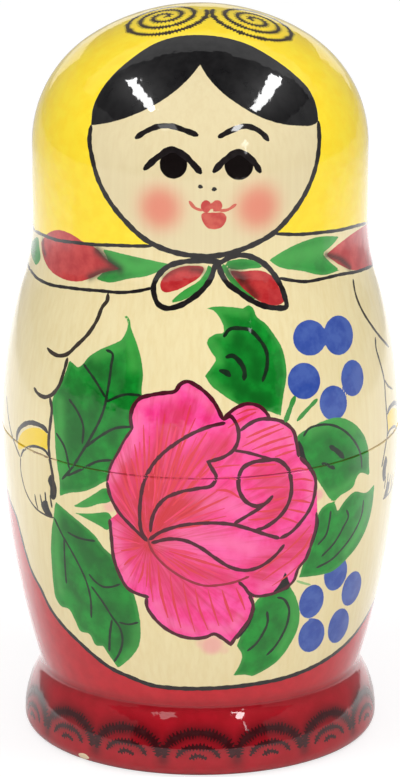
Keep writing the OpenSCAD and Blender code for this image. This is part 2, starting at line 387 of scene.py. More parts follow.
HAND_PATCHES = [
    [(47.7, 479.9), (51, 474.4), (53.6, 478.8), (56.4, 495), (54.2, 500), (52, 499.4), (49.9, 486.4)],
    [(41, 503), (46, 500), (49, 508), (52.5, 518), (47, 516), (43.5, 511)],
]
FOOT_CHIP = [(78, 753.5), (84, 753.5), (89.5, 758.5), (82, 758.5)]
EYES = [ellipse(173.5, 164, 13.9, 14.8), ellipse(239, 165, 14.6, 15)]
NOSTRILS = [ellipse(200.4, 186.6, 2.9, 2.1, 10), ellipse(214.2, 189.3, 2.9, 2.3, 5)]
LIPS = [
    ellipse(206, 206.4, 5.4, 6.2),
    ellipse(217, 205.8, 5.4, 5.8),
    [(201.4, 214), (206, 213), (214, 212.6), (224, 213.4), (226.6, 217), (225, 223.4), (220.6, 228),
     (214, 229.4), (207, 227.6), (202.6, 221.4)],
]

# Soft spots: centre x, y, radius in pixels and strength
BLUSH = [(160, 208, 24, 0.95), (258, 207, 25, 0.95)]
SPILL = [
    (212, 645, 13, 0.9), (203, 643, 9, 0.6), (224, 650, 7, 0.5), (318, 495, 7, 0.9), (109, 507, 7, 0.7),
]

# Brush lines: colour, width in pixels, points. A colour that ends in _rough has a toothed edge.
FACE_LINES = [
    ("ink", 5.6, HAIR_TOP[-1:] + FACE_LOWER + HAIR_TOP[:1]),
    ("ink", 5.6, [(135, 138.5), (146, 131.3), (159.6, 126.2), (171.4, 126.2), (185, 130.4),
     (198.4, 135.5)]),
    ("ink", 5.6, [(218, 137.6), (232, 130.2), (246, 126.2), (255, 128.6), (263, 134), (269, 141)]),
    ("ink", 6.4, [(143.5, 170), (158, 157), (172, 149.4), (184, 155.2), (193, 164), (201.6, 173.8)]),
    ("ink", 6.4, [(213, 172.7), (225.5, 159.5), (239, 152), (252, 160), (261, 172.7)]),
    ("lip", 3.2, [(189, 201), (195, 208), (203, 210.7)]),
    ("lip", 3.2, [(236.5, 204), (227, 210), (219, 210.7)]),
]
DRESS_LINES = [
    ("ink", 5.6, [(222, 262), (213, 261.4), (204.3, 260.9), (191, 261), (182.6, 261.9), (167.4, 266.9),
     (157.6, 276.5), (153.5, 286.3), (154.5, 296), (158, 304), (165, 308), (178.6, 306), (191.3, 299),
     (203.3, 288.8), (211, 278), (214.4, 268), (217, 262)]),
    ("ink", 5.6, [(214, 264.6), (221, 262.2), (230.4, 257), (243.5, 255.2), (256.5, 259), (267.4, 266.7),
     (275, 276), (280.6, 285.2), (284.6, 296), (286, 307), (276.5, 308), (261, 305), (248, 298.4),
     (239, 292), (227.2, 283), (220.8, 272.2), (218.4, 263)]),
    ("sleeve", 4.2, [(108, 293), (107, 301), (103, 306), (97, 320), (88, 334), (76.5, 345.5), (65, 355),
     (58.7, 355.7), (51, 352), (47, 348)]),
    ("sleeve", 4.2, [(67.6, 357.6), (63.8, 371.6), (57.4, 388.2), (51, 395.2), (44.6, 397), (38.3, 394),
     (33.8, 387.6)]),
    ("sleeve", 4.2, [(49.7, 397), (51.7, 408.6), (50.4, 422.7), (48.5, 443), (49.7, 458.4), (52.3, 473.7),
     (54.2, 495)]),
    ("sleeve", 3.4, [(353, 279), (355.6, 294), (362, 310), (372, 326), (378.6, 335), (389, 347)]),
    ("sleeve", 3.2, [(375.4, 337), (376, 347.4), (379.8, 361.4), (383.7, 376.7), (385.6, 398.4),
     (386.9, 417.6), (387.5, 431.6), (385, 449.4), (381.8, 467.3)]),
    ("sleeve", 2.6, [(384.3, 379.3), (388.5, 386.3), (392.5, 389)]),
]
# The lower arm, bracelet and hand on the left, which the right side repeats
ARM_LINES = [
    ("sleeve", 2.6, [(6.5, 396), (8.5, 417.6), (12, 435.4), (16, 447), (20, 457)]),
    ("ink", 5.0, [(16.6, 441.8), (17.9, 431.6), (23, 425.2), (29.3, 422.7), (37, 424), (44.6, 428.4),
                  (47.8, 432.9)]),
    ("ink", 2.9, [(20.6, 457), (23.8, 450), (31.4, 446.3), (39, 447.3), (45.5, 451), (49.3, 458.2)]),
    ("sleeve", 2.2, [(20.6, 457), (20.6, 468), (22.2, 478.8), (25.5, 490.7), (31.4, 502.6), (37.9, 510.2),
                     (49.9, 516.7), (54.2, 517.8)]),
    ("ink", 2.2, [(34.7, 494), (36, 502), (37.9, 509)]),
    ("ink", 2.2, [(40, 494), (41.5, 502), (43.4, 510.2)]),
    ("ink", 2.6, [(45, 491.8), (46, 503), (47.7, 514.5)]),
    ("ink", 2.6, [(50, 495), (51, 502), (52, 508)]),
    ("tan", 2.0, [(32.5, 452), (40, 454), (47.7, 458)]),
]
LEAF_LINES = [
    ("vein", 3.0, [(105.9, 350), (111.6, 352.5), (111, 366.5), (107, 394.6), (105.9, 401), (100.8, 417.6),
     (91.8, 435.4), (79, 457), (71.4, 468.6), (61.8, 479.5)]),
    ("vein", 2.8, [(83.5, 364), (94.4, 379.3), (105.5, 397.5)]),
    ("vein", 2.8, [(141, 395.4), (125, 394.6), (105.5, 402)]),
    ("vein", 2.8, [(68.9, 399), (76.5, 409.9), (83, 425.2), (82.3, 444)]),
    ("vein", 2.9, [(133, 426.6), (114.8, 428.4), (99.5, 436.7), (85, 447.5)]),
    ("vein", 2.8, [(56, 432.9), (63.8, 445.6), (69.4, 469)]),
    ("vein", 2.8, [(112, 460), (97, 461.6), (83, 468.6), (67, 476)]),
    ("vein", 4.0, [(223.6, 337.2), (229.3, 329.5), (240.8, 328.3), (248.5, 329.5), (258.7, 338.5),
     (266.3, 351.2), (267, 366.5), (262.5, 381.8)]),
    ("vein", 5.0, [(225.5, 357.6), (231.9, 355.7), (239.5, 361.4), (244.6, 371.6), (244, 380.6)]),
    ("vein", 5.6, [(219, 370.4), (226.8, 372.9), (230.6, 376.7)]),
    ("vein", 2.6, [(303.3, 436.7), (308.4, 429), (318.6, 425.2), (332.7, 425.2), (345.4, 431.6),
     (355.6, 443), (360.7, 454.5), (362, 468.6)]),
    ("vein", 5.5, [(329.6, 446), (337, 451), (344.3, 458)]),
    ("vein", 4.0, [(321.5, 463.5), (328, 465), (335, 468.8)]),
    ("vein", 2.6, [(330.9, 510.4), (329.5, 521), (325.5, 535.8), (317.5, 545.2)]),
    ("vein", 2.6, [(346.3, 509.7), (348.3, 514.4), (343, 527.8), (333.6, 543.8), (321.5, 556.6)]),
    ("vein", 2.6, [(363.7, 499.6), (361.7, 514.4), (355, 530.4), (343, 547.8), (330.9, 560),
     (316.2, 568)]),
    ("vein", 2.6, [(54.2, 517.8), (62.9, 536.2), (70.4, 549.2), (80.2, 567.6), (85.6, 579.6), (90.7, 600),
     (91.3, 618)]),
    ("vein", 2.4, [(64, 538.4), (64.5, 554.6), (65, 565.5), (66.4, 583.5)]),
    ("vein", 2.4, [(67.2, 531.9), (75.9, 536.8), (84.5, 539.5), (95.4, 541)]),
    ("vein", 2.4, [(88.6, 573.8), (95.4, 581.7), (104, 587), (112.7, 586.6), (120.3, 583.9)]),
    ("vein", 2.6, [(91.3, 586.3), (102.4, 601.5), (112, 616.7), (120.4, 629.2), (122.5, 640.3),
     (119, 654), (114.2, 661.7)]),
    ("vein", 2.8, [(112, 619.5), (110, 633.4), (109.3, 651.4)]),
    ("vein", 2.4, [(119, 622.3), (128.7, 624.4), (138.4, 622.3)]),
    ("vein", 2.8, [(276.8, 597.4), (283, 598.7), (288.6, 607), (287.9, 620.9), (281.7, 636),
     (273.3, 648.6), (266.4, 655.5)]),
    ("vein", 2.8, [(267, 611.2), (267.8, 620.9), (262.3, 634.7), (255.4, 644.4), (247, 651.3)]),
    ("leaf", 5.4, [(295, 396), (290, 409), (285, 423)]),
    ("leaf", 4.4, [(317.5, 399), (307, 410), (297, 421)]),
    ("leaf_pale", 2.4, [(296.5, 580.8), (303, 583), (310.7, 584.9)]),
]
ROSE_LINES = [
    ("plum", 3.9, [(225.5, 422.8), (209.4, 426.6), (194, 432.8), (175.7, 443.5), (158.9, 457.2),
     (149.7, 469.5), (143.6, 483.3), (140.5, 500), (139.7, 517), (141.3, 530.7), (147.4, 541.4)]),
    ("plum", 3.9, [(223.2, 420.5), (230, 416), (235.4, 422), (238.5, 431.2), (237.7, 442), (233.9, 449.6),
     (223.2, 457.2), (207.9, 461.8), (207.9, 461.8), (212.5, 469.5), (216.3, 477), (212.5, 484.8),
     (197, 488.6), (178.8, 492.5), (165, 498.6), (155.8, 509.3), (151.2, 523), (150.5, 532.3)]),
    ("plum", 3.2, [(233.9, 450.4), (247.7, 452.7), (261.4, 456.5), (273.7, 460.3)]),
    ("plum", 4.3, [(273, 495.5), (266, 503.2), (256.8, 506.2), (246, 501.6), (240, 492.5), (238.5, 480.2),
     (243, 468), (252.3, 462.6), (266, 460.3), (278.3, 460.3), (287.5, 468), (291.3, 481.7), (290.5, 497),
     (284.4, 510.8), (272, 523), (260, 529.2), (255.3, 530)]),
    ("plum", 3.9, [(148.9, 540), (158.9, 533), (175.7, 526.9), (194, 523.8), (212.5, 523), (232.4, 524.6),
     (252.3, 530), (266, 534.6), (279.8, 538.4)]),
    ("plum", 3.8, [(233.9, 523.8), (249.2, 514.6), (261.4, 507), (272, 497)]),
    ("plum", 4.1, [(279.8, 538.4), (289, 533.8), (301.2, 521.5), (310.4, 507.8), (315, 492.5), (315, 477),
     (308.9, 466.4), (299.7, 457.2)]),
    ("plum", 3.9, [(299, 457), (296.6, 443.5), (293.6, 431.2), (282.9, 422), (270.6, 419), (258.4, 419.7),
     (247.7, 425), (240, 431.2)]),
    ("plum", 3.8, [(223.2, 419), (235.4, 408.3), (247.7, 403.7), (260, 406.7), (267.6, 414.4),
     (269.9, 419)]),
    ("plum", 4.1, [(223, 420), (219, 411), (214, 402), (206, 393), (197, 386), (186.4, 381.5),
     (180, 384.5), (175.7, 390.7), (163.5, 393), (151, 395), (139, 399), (133, 407), (130.6, 416),
     (132, 430)]),
    ("plum", 2.8, [(132, 429), (125, 439), (117.6, 453), (111, 465), (106.8, 481.7)]),
    ("plum", 3.8, [(106.8, 481.7), (110, 495.5), (119, 512.4), (131.3, 526), (147.4, 541.4)]),
    ("plum", 3.9, [(151.2, 543), (169.6, 539), (184.9, 540.6), (200.2, 547.5), (215.5, 558.2),
     (230.8, 567.4), (246, 570.4), (258.4, 567.4), (270.6, 559.7), (279.8, 550.5), (284.4, 544.4)]),
    ("madder", 2.6, [(147.4, 538.3), (151.2, 549), (160.4, 561.2), (175.7, 573.5), (189.5, 581),
     (204.8, 585.7), (220, 585), (235.4, 581.9), (249.2, 576.5)]),
    ("plum", 3.5, [(238.5, 581.9), (244.6, 587.2), (249.2, 593.4), (253.8, 595.7), (267.6, 595),
     (281.3, 590.3), (293.6, 581), (298.2, 568.9), (307.4, 556.6), (312, 541.3), (316.5, 523),
     (316.5, 512)]),
    ("plum", 3.9, [(249.2, 595), (253, 604), (250.7, 616.3), (243, 628.6), (235.4, 637.8), (230.8, 644.7),
     (230.8, 644.7), (222, 638), (214, 634), (206.3, 637), (194, 638.5), (178.8, 635.5), (163.5, 627),
     (152.8, 616.3), (146.6, 605.6), (146.6, 597.2)]),
    ("plum", 3.9, [(109.6, 519), (111.4, 538.3), (113.7, 558.2), (119, 573.5), (128.3, 588.8),
     (140.5, 594.9), (149, 597.2)]),
]
BAND_TOP_WIDTH, BAND_LOW_WIDTH, APRON_WIDTH = 3.6, 3.4, 5.0
BAND_LINES = [
    ("ink", BAND_TOP_WIDTH, BAND_TOP[:8]), ("ink", BAND_TOP_WIDTH, BAND_TOP[10:]),
    ("ink", BAND_LOW_WIDTH, BAND_LOW[:8]), ("ink", BAND_LOW_WIDTH, BAND_LOW[10:]),
]

TINTS = {
    "ink": (24, 19, 20), "plum": (74, 10, 30), "madder": (150, 36, 52), "sleeve": (50, 38, 27),
    "tan": (150, 120, 84), "vein": (16, 40, 22), "leaf": (52, 140, 56), "leaf_pale": (150, 190, 120),
    "lip": (206, 96, 78), "umber": (54, 40, 22), "petal_red": (222, 56, 72),
    "petal_rose": (232, 60, 100), "maroon": (56, 2, 8),
}


def linear(rgb):
    """A display colour of 0 to 255 as the linear colour that a shader takes."""
    c = np.asarray(rgb, float) / 255
    return tuple(np.where(c <= 0.04045, c / 12.92, ((c + 0.055) / 1.055) ** 2.4))


# The skin's grid: angle round the axis from the front, and outline length

FRONT_HALF, FRONT_STEPS, BACK_STEPS = math.radians(104), 298, 54
COLUMNS = np.concatenate([
    np.linspace(-FRONT_HALF, FRONT_HALF, FRONT_STEPS + 1),
    np.linspace(FRONT_HALF, TURN - FRONT_HALF, BACK_STEPS + 1)[1:-1],
])
# Length between rows, the fewest steps on an arc, and how near to an end an arc's end is left out
ROW_PITCH, ARC_STEPS, END_CLEAR = 0.45, 3, 0.3


def grid_rows(start, end):
    """Even steps of outline length, with the ends of the arcs in between kept as rows."""
    stops = [start] + [t for t in ARC_AT if start + END_CLEAR < t < end - END_CLEAR] + [end]
    return np.concatenate([
        np.linspace(a, b, max(ARC_STEPS, int(np.ceil((b - a) / ROW_PITCH))) + 1)[(i > 0):]
        for i, (a, b) in enumerate(zip(stops[:-1], stops[1:]))
    ])


LOWER_ROWS = grid_rows(0, T_SEAM - SEAM_BEVEL)
UPPER_ROWS = grid_rows(T_SEAM + SEAM_BEVEL, T_CROWN)
SKIN_ROWS = np.concatenate([LOWER_ROWS, UPPER_ROWS])
# Radius that angles are laid flat with, and the furthest distance from an edge that a field tells
FLAT_R, REACH = 30.0, 2.5
BACK_WRAP = np.where(COLUMNS > math.pi, COLUMNS - TURN, COLUMNS)
GRID_X, GRID_T = np.meshgrid(BACK_WRAP * FLAT_R, SKIN_ROWS)
# Angle whose half is the mirror line between the two arms
OTHER_ARM = math.radians(20.6)
# Grid cells that are measured at a time
CELLS_AT_ONCE = 4000


def unrolled(path):
    """Skin points as flat millimetres: angle times a fixed radius, and outline length."""
    return path * np.array([FLAT_R, 1.0])


def other_side(path):
    """A skin path of the left arm, mirrored to where the right arm is painted."""
    return np.stack([OTHER_ARM - path[:, 0], path[:, 1]], 1)


def near(poly, reach):
    """Grid cells within reach of a shape's flat box, and where they lie."""
    lo, hi = poly.min(0) - reach, poly.max(0) + reach
    cells = (GRID_X > lo[0]) & (GRID_X < hi[0]) & (GRID_T > lo[1]) & (GRID_T < hi[1])
    return cells, np.stack([GRID_X[cells], GRID_T[cells]], 1)


def line_distance(p, a, b):
    """Distance of points p from the nearest of the segments a to b."""
    ab = b - a
    ap = p[:, None, :] - a[None]
    share = np.clip((ap * ab).sum(2) / np.maximum((ab * ab).sum(1), TINY), 0, 1)
    return np.linalg.norm(ap - share[..., None] * ab, axis=2).min(1)


def area_field(shapes, repeated=()):
    """Signed distance in millimetres from the painted edge of a set of shapes, negative inside: the
    nearest edge segment, with the side from counting how often a line to the right crosses the edge.
    The repeated shapes are on both arms."""
    field = np.full(GRID_X.shape, REACH)
    paths = [on_skin(smooth_path(shape, closed=True, step=3.0)) for shape in [*shapes, *repeated]]
    for path in paths + [other_side(path) for path in paths[len(shapes):]]:
        a = unrolled(path)
        b = np.roll(a, -1, 0)
        rise = np.where(np.abs(b[:, 1] - a[:, 1]) < TINY, TINY, b[:, 1] - a[:, 1])
        cells, p = near(a, REACH)
        signed = np.full(len(p), REACH)
        for part in np.array_split(np.arange(len(p)), max(1, len(p) // CELLS_AT_ONCE)):
            q = p[part]
            best = np.minimum(REACH, line_distance(q, a, b))
            above = (a[None, :, 1] > q[:, None, 1]) != (b[None, :, 1] > q[:, None, 1])
            cross = a[None, :, 0] + (q[:, None, 1] - a[None, :, 1]) * ((b[:, 0] - a[:, 0]) / rise)[None]
            odd = (above & (q[:, None, 0] < cross)).sum(1) % 2 == 1
            signed[part] = np.where(odd, -best, best)
        field[cells] = np.minimum(field[cells], signed)
    return field


# How a soft spot falls off: the factor and the power of the distance over its radius
SPOT_FALL, SPOT_POWER = 1.1, 3.2


def spot_field(spots):
    """Soft round spots: strength times a bell curve of the distance over the radius."""
    field = np.zeros(GRID_X.shape)
    for x, y, radius, strength in spots:
        c = unrolled(on_skin([(x, y)]))[0]
        d = np.hypot(GRID_X - c[0], GRID_T - c[1]) * PX_PER_MM / radius
        field = np.maximum(field, strength * np.exp(-SPOT_FALL * d**SPOT_POWER))
    return field


def skin_strokes(strokes):
    """Soft strokes carried onto the skin: width, strength and path."""
    return [(width, power, on_skin(smooth_path(points, step=4.0))) for width, power, points in strokes]


def stroke_field(strokes):
    """Soft strokes of a dry brush: strength falling off with the distance from each stroke's line."""
    field = np.zeros(GRID_X.shape)
    for width, strength, path in strokes:
        line = unrolled(path)
        cells, p = near(line, width)
        d = line_distance(p, line[:-1], line[1:])
        bell = strength * np.exp(-((2 * PX_PER_MM * d / width) ** 2))
        field[cells] = np.maximum(field[cells], bell)
    return field


def ring_line(points, angles, level=None, ease=0.5):
    """A line round the whole doll as outline length at each angle: through the photographed points in
    front, easing at both ends to one level at the back, which is the mean of the ends if none is given."""
    path = on_skin(smooth_path(points, step=3.0))
    path = path[np.argsort(path[:, 0])]
    back = (path[0, 1] + path[-1, 1]) / 2 if level is None else level
    knots = np.concatenate([[-math.pi, path[0, 0] - ease], path[:, 0], [path[-1, 0] + ease, math.pi]])
    wrapped = (angles + math.pi) % TURN - math.pi
    return np.interp(wrapped, knots, np.concatenate([[back, back], path[:, 1], [back, back]]))


def clip_field(field):
    return np.clip(field, -REACH, REACH)


STROKE_SEED = 11
rng = np.random.default_rng(STROKE_SEED)

# Dry red strokes on the rose's petals: the foot of each fan, where along each ray the brush starts and
# stops, and the points that the rays run to
FANS = [
    ((148, 543), 0.46, 0.93, [(111, 484), (114, 472), (118, 462), (123, 452), (128, 443), (133, 433),
     (138, 422), (143, 413), (150, 407), (158, 402), (167, 399), (176, 396), (185, 392), (194, 394),
     (202, 401), (209, 410), (214, 419)]),
    ((151, 532), 0.34, 0.9, [(155, 468), (162, 461), (170, 453), (180, 447), (190, 441), (201, 436),
     (212, 432), (222, 430), (229, 437), (232, 446), (222, 455)]),
    ((152, 532), 0.3, 0.95, [(205, 492), (222, 488), (234, 494), (238, 504), (236, 514), (226, 520),
     (205, 520)]),
    ((150, 545), 0.3, 0.93, [(186, 578), (200, 583), (215, 583), (230, 580), (246, 575), (222, 568),
     (206, 556)]),
    ((148, 546), 0.3, 0.92, [(112, 536), (114, 552), (118, 570), (126, 584), (136, 592), (146, 594)]),
]
SINGLE_STROKES = [
    [(242, 447), (262, 437), (284, 428)], [(246, 438), (264, 430), (280, 424)],
    [(252, 450), (272, 442), (292, 436)], [(262, 453), (278, 448), (294, 444)],
    [(275, 457), (286, 453), (296, 450)], [(228, 428), (240, 420), (256, 412)],
    [(236, 415), (248, 410), (258, 409)], [(290, 470), (300, 469), (309, 470)],
    [(293, 480), (303, 479), (313, 481)], [(293, 490), (303, 490), (314, 492)],
    [(291, 500), (302, 501), (311, 503)], [(287, 509), (297, 511), (306, 513)],
    [(280, 517), (290, 520), (298, 523)], [(250, 466), (262, 465), (276, 464.5)],
    [(243, 480), (260, 478), (286, 476)], [(244, 490), (262, 488), (288, 487)],
    [(272, 500), (280, 499), (287, 497)], [(256, 512), (268, 511), (282, 509)],
    [(248, 520), (262, 519), (275, 517)], [(214, 468), (226, 466), (240, 465)],
    [(219, 478), (228, 478), (237, 480)], [(216, 490), (228, 491), (240, 498)],
    [(262, 581), (280, 568), (298, 556)], [(272, 586), (288, 575), (302, 562)],
    [(254, 575), (272, 562), (290, 548)], [(284, 553), (298, 540), (311, 525)],
    [(290, 561), (304, 548), (312, 534)], [(150, 557), (150, 578), (153, 602)],
    [(158, 565), (161, 592), (168, 618)], [(170, 575), (174, 602), (181, 628)],
    [(183, 583), (188, 608), (195, 632)], [(195, 588), (200, 610), (208, 630)],
    [(208, 590), (213, 608), (219, 626)], [(222, 590), (227, 606), (233, 622)],
    [(236, 588), (241, 599), (245, 610)],
]
# How far a ray's start, stop and middle stray, and the widths of the strokes in pixels
START_STRAY, STOP_STRAY, BOW_STRAY = 0.09, 0.16, 2.5
FAN_WIDTHS, SINGLE_WIDTHS = (1.8, 3.4), (1.8, 3.2)


def petal_strokes():
    """Thin strokes along the rays of each fan, bowed a little, and the single strokes."""
    out = []
    for (fx, fy), begin, stop, tips in FANS:
        for i, (x, y) in enumerate(tips):
            start = begin + START_STRAY * rng.uniform(-1, 1)
            end = stop - STOP_STRAY * rng.uniform(0, 1)
            bow = rng.uniform(-BOW_STRAY, BOW_STRAY)
            at = [
                (fx + (x - fx) * k + bow * w, fy + (y - fy) * k)
                for k, w in ((start, 0), ((start + end) / 2, 1), (end, 0))
            ]
            out.append(("petal_red" if i % 3 else "petal_rose", rng.uniform(*FAN_WIDTHS), at))
    return out + [("petal_red", rng.uniform(*SINGLE_WIDTHS), s) for s in SINGLE_STROKES]


# Soft strokes: width in pixels, strength and points
ROSE_WARM = [
    (54.0, 1.0, [(148, 540), (150, 505), (162, 474)]), (30.0, 0.8, [(128, 520), (122, 495), (126, 470)]),
    (38.0, 1.0, [(156, 524), (172, 512), (190, 506)]), (26.0, 0.65, [(175, 470), (200, 455), (222, 445)]),
    (26.0, 0.7, [(160, 452), (170, 432), (178, 412)]), (34.0, 0.6, [(150, 560), (172, 576), (184, 594)]),
    (30.0, 0.6, [(262, 570), (284, 556), (304, 540)]), (24.0, 0.55, [(280, 470), (286, 490), (276, 512)]),
    (24.0, 0.6, [(160, 552), (190, 570), (225, 578)]), (22.0, 0.55, [(262, 474), (272, 482), (280, 494)]),
]
PETAL_LIGHTS = [
    (12.0, 0.9, [(112, 478), (120, 462), (130, 445), (136, 430), (137, 412)]),
    (10.0, 0.8, [(140, 405), (156, 399), (174, 396)]), (9.0, 0.8, [(186, 388), (200, 396), (212, 410)]),
    (9.0, 0.7, [(232, 413), (246, 409), (260, 412)]), (10.0, 0.8, [(272, 426), (286, 432), (291, 446)]),
    (9.0, 0.8, [(304, 468), (310, 482), (310, 498)]), (12.0, 0.8, [(116, 528), (118, 552), (128, 578)]),
    (11.0, 0.8, [(156, 604), (170, 622), (192, 631)]), (10.0, 0.8, [(212, 627), (228, 630), (240, 616)]),
    (10.0, 0.7, [(262, 588), (280, 582), (290, 570)]), (9.0, 0.7, [(160, 545), (186, 547), (206, 557)]),
    (22.0, 0.9, [(185, 534), (216, 540), (250, 548)]), (18.0, 0.5, [(200, 556), (232, 556), (264, 550)]),
    (24.0, 0.7, [(206, 504), (222, 502), (236, 508)]), (20.0, 0.6, [(250, 436), (264, 440), (280, 440)]),
]
# Dark paint rubbed into the tips of the buds and the knot
SMUDGES = [
    (10.0, 1.0, [(97, 250), (107, 259), (119, 269)]), (8.0, 0.9, [(90, 277), (104, 271), (116, 269)]),
    (6.0, 0.9, [(43, 240), (43, 248), (45, 254)]), (7.0, 1.0, [(326, 255), (340, 259), (350, 268)]),
    (13.0, 0.95, [(231, 272), (238, 275), (243, 281)]), (8.0, 0.8, [(243, 280), (249, 288), (256, 297)]),
    (6.0, 0.6, [(164, 277), (176, 269.6), (190, 267.6)]),
    (8.0, 0.8, [(192, 269), (198, 269.5), (202, 271)]),
]
LEAF_LIGHTS = [
    (14.0, 0.8, [(124, 318), (130, 340), (134, 366)]), (12.0, 0.7, [(96, 356), (112, 350), (126, 344)]),
    (12.0, 0.7, [(60, 402), (60, 440), (63, 476)]), (10.0, 0.7, [(213, 312), (230, 311), (246, 313)]),
    (10.0, 0.7, [(212, 342), (218, 352), (219, 362)]), (9.0, 0.5, [(211, 379), (218, 387), (228, 395)]),
    (14.0, 0.7, [(310, 432), (336, 422), (354, 430)]), (12.0, 0.7, [(330, 494), (344, 488), (352, 480)]),
    (12.0, 0.7, [(370, 492), (364, 520), (346, 552)]), (12.0, 0.7, [(56, 510), (56, 550), (60, 590)]),
    (10.0, 0.5, [(136, 626), (134, 644), (124, 660)]), (12.0, 0.7, [(292, 596), (294, 620), (280, 650)]),
    (20.0, 0.95, [(106, 256), (132, 266), (164, 265)]),
    (24.0, 0.95, [(276, 260), (304, 254), (334, 246)]), (9.0, 0.8, [(205, 274), (196, 288), (178, 300)]),
    (10.0, 0.8, [(222, 270), (234, 284), (250, 297)]), (16.0, 0.9, [(212, 312), (218, 322), (222, 330)]),
    (12.0, 0.6, [(100, 497), (86, 503), (76, 506)]), (12.0, 0.6, [(106, 520), (92, 517), (78, 513)]),
]
LEAF_DARKS = [
    (16.0, 0.8, [(98, 390), (92, 420), (80, 448)]), (14.0, 0.7, [(118, 370), (122, 400), (112, 440)]),
    (16.0, 0.9, [(236, 340), (252, 352), (256, 378)]), (18.0, 0.95, [(230, 372), (242, 390), (266, 402)]),
    (12.0, 0.7, [(330, 440), (346, 452), (352, 468)]), (14.0, 0.7, [(80, 545), (92, 566), (110, 600)]),
    (12.0, 0.6, [(272, 604), (276, 624), (262, 646)]),
    (28.0, 0.85, [(112, 606), (124, 618), (128, 640)]), (30.0, 0.8, [(70, 400), (74, 424), (78, 450)]),
    (16.0, 0.6, [(60, 545), (66, 570), (80, 600)]), (26.0, 0.9, [(64, 524), (88, 548), (114, 576)]),
    (16.0, 0.85, [(90, 366), (102, 374), (114, 371)]),
]

# Round the foot: groups of scallops burnt into the red, evenly spaced, with the paint darker along them
SCALLOPS = [
    ("maroon_rough", 8.6, [(164, 758), (165.5, 748), (173, 740), (185, 734.8), (198, 733), (211, 734.8),
     (223, 740), (230.5, 748), (232, 758)]),
    ("maroon_rough", 5.6, [(176, 758), (182, 751), (198, 747.2), (214, 751), (220, 758)]),
    ("maroon_rough", 4.8, [(189, 759), (198, 756), (207, 759)]),
]
SCALLOP_WASH = [
    (20.0, 0.95, [(170, 741), (184, 735), (198, 733.5), (212, 735), (226, 741)]),
    (14.0, 0.8, [(163, 744), (163, 752), (163, 760)]),
    (12.0, 0.5, [(180, 752), (198, 747.5), (216, 752)]),
]
SCALLOP_COUNT = 15


def round_axis(turn):
    """A function that turns a skin path round the axis."""
    return lambda path: path + np.array([turn, 0.0])


FOOT_TURNS = [
    round_axis(turn)
    for turn in TURN * (np.arange(SCALLOP_COUNT) - SCALLOP_COUNT // 2) / SCALLOP_COUNT
]
WASH = [
    (width, strength, turned(path))
    for width, strength, path in skin_strokes(SCALLOP_WASH) for turned in FOOT_TURNS
]

# Where the rose's petals spring from, and how each point lies from there
ROSE_ROOT, ROOT_CLEAR = (148, 543), 0.3
ROOT_X, ROOT_T = unrolled(on_skin([ROSE_ROOT]))[0]
RAY = np.stack([GRID_X - ROOT_X, GRID_T - ROOT_T])
RAY_FAR = np.maximum(np.hypot(*RAY), ROOT_CLEAR)
APRON_EASE = 0.26
# Middle of the groove over the foot, and how far the painted shade and dark line there spread
GROOVE_T, GROOVE_SPREAD = (T_ROLL + T_GROOVE) / 2, 1.1
# Fields that are 0 off the painted skin. The others tell the distance from a painted edge.
SOFT_FIELDS = {
    "blush": spot_field(BLUSH),
    "spill": spot_field(SPILL),
    "strokes": stroke_field(skin_strokes(ROSE_WARM)),
    "smudge": stroke_field(skin_strokes(SMUDGES)),
    "petal_light": stroke_field(skin_strokes(PETAL_LIGHTS)),
    "leaf_light": stroke_field(skin_strokes(LEAF_LIGHTS)),
    "leaf_dark": stroke_field(skin_strokes(LEAF_DARKS)),
    "wash": stroke_field(WASH),
    "ray_x": RAY[0] / RAY_FAR,
    "ray_y": RAY[1] / RAY_FAR,
    "ray_far": RAY_FAR,
    # Painted shade and the dark line in the groove over the foot
    "groove": np.exp(-(((GRID_T - GROOVE_T) / GROOVE_SPREAD) ** 2)),
}
EDGE_FIELDS = {
    "kerchief": clip_field(ring_line(BAND_TOP, BACK_WRAP)[None] - GRID_T),
    "skirt": clip_field(GRID_T - ring_line(APRON, BACK_WRAP, T_SEAM, APRON_EASE)[None]),
    "face": area_field(FACE),
    "hair": area_field(HAIR),
    "leaves": area_field(LEAVES),
    "rose": area_field(ROSE),
    "berries": area_field([ellipse(*b) for b in BERRIES]),
    "flowers": area_field(RED_FLOWERS),
    "gilt": area_field([], [BRACELET]),
    "dark": area_field(DARK_PATCHES + EYES + NOSTRILS, HAND_PATCHES),
    "chip": area_field([FOOT_CHIP]),
    "lips": area_field(LIPS),
    "foot": clip_field(GRID_T - GROOVE_T),
}


# Meshes

# Edges sharper than this stay sharp, and what a pole's fan takes of the bake map, in millimetres
SHARP_FROM, POLE_ROOM = math.radians(32), 2


def new_mesh(name, points, quads, others, uv):
    """A smooth mesh of quads and one other kind of face, from points in millimetres, with a place on the
    bake map for every corner."""
    mesh = bpy.data.meshes.new(name)
    mesh.vertices.add(len(points))
    mesh.vertices.foreach_set("co", (points * MM).ravel())
    loops = np.concatenate([quads.ravel(), others.ravel()])
    mesh.loops.add(len(loops))
    mesh.loops.foreach_set("vertex_index", loops.astype(np.int32))
    corners = np.repeat([quads.shape[1], others.shape[1]], [len(quads), len(others)])
    starts = np.cumsum(corners) - corners
    mesh.polygons.add(len(starts))
    mesh.polygons.foreach_set("loop_start", starts.astype(np.int32))
    mesh.update(calc_edges=True)
    mesh.uv_layers.new(name="OFBake").data.foreach_set("uv", uv.astype(np.float32).ravel())
    mesh.polygons.foreach_set("use_smooth", np.ones(len(starts), bool))
    return mesh


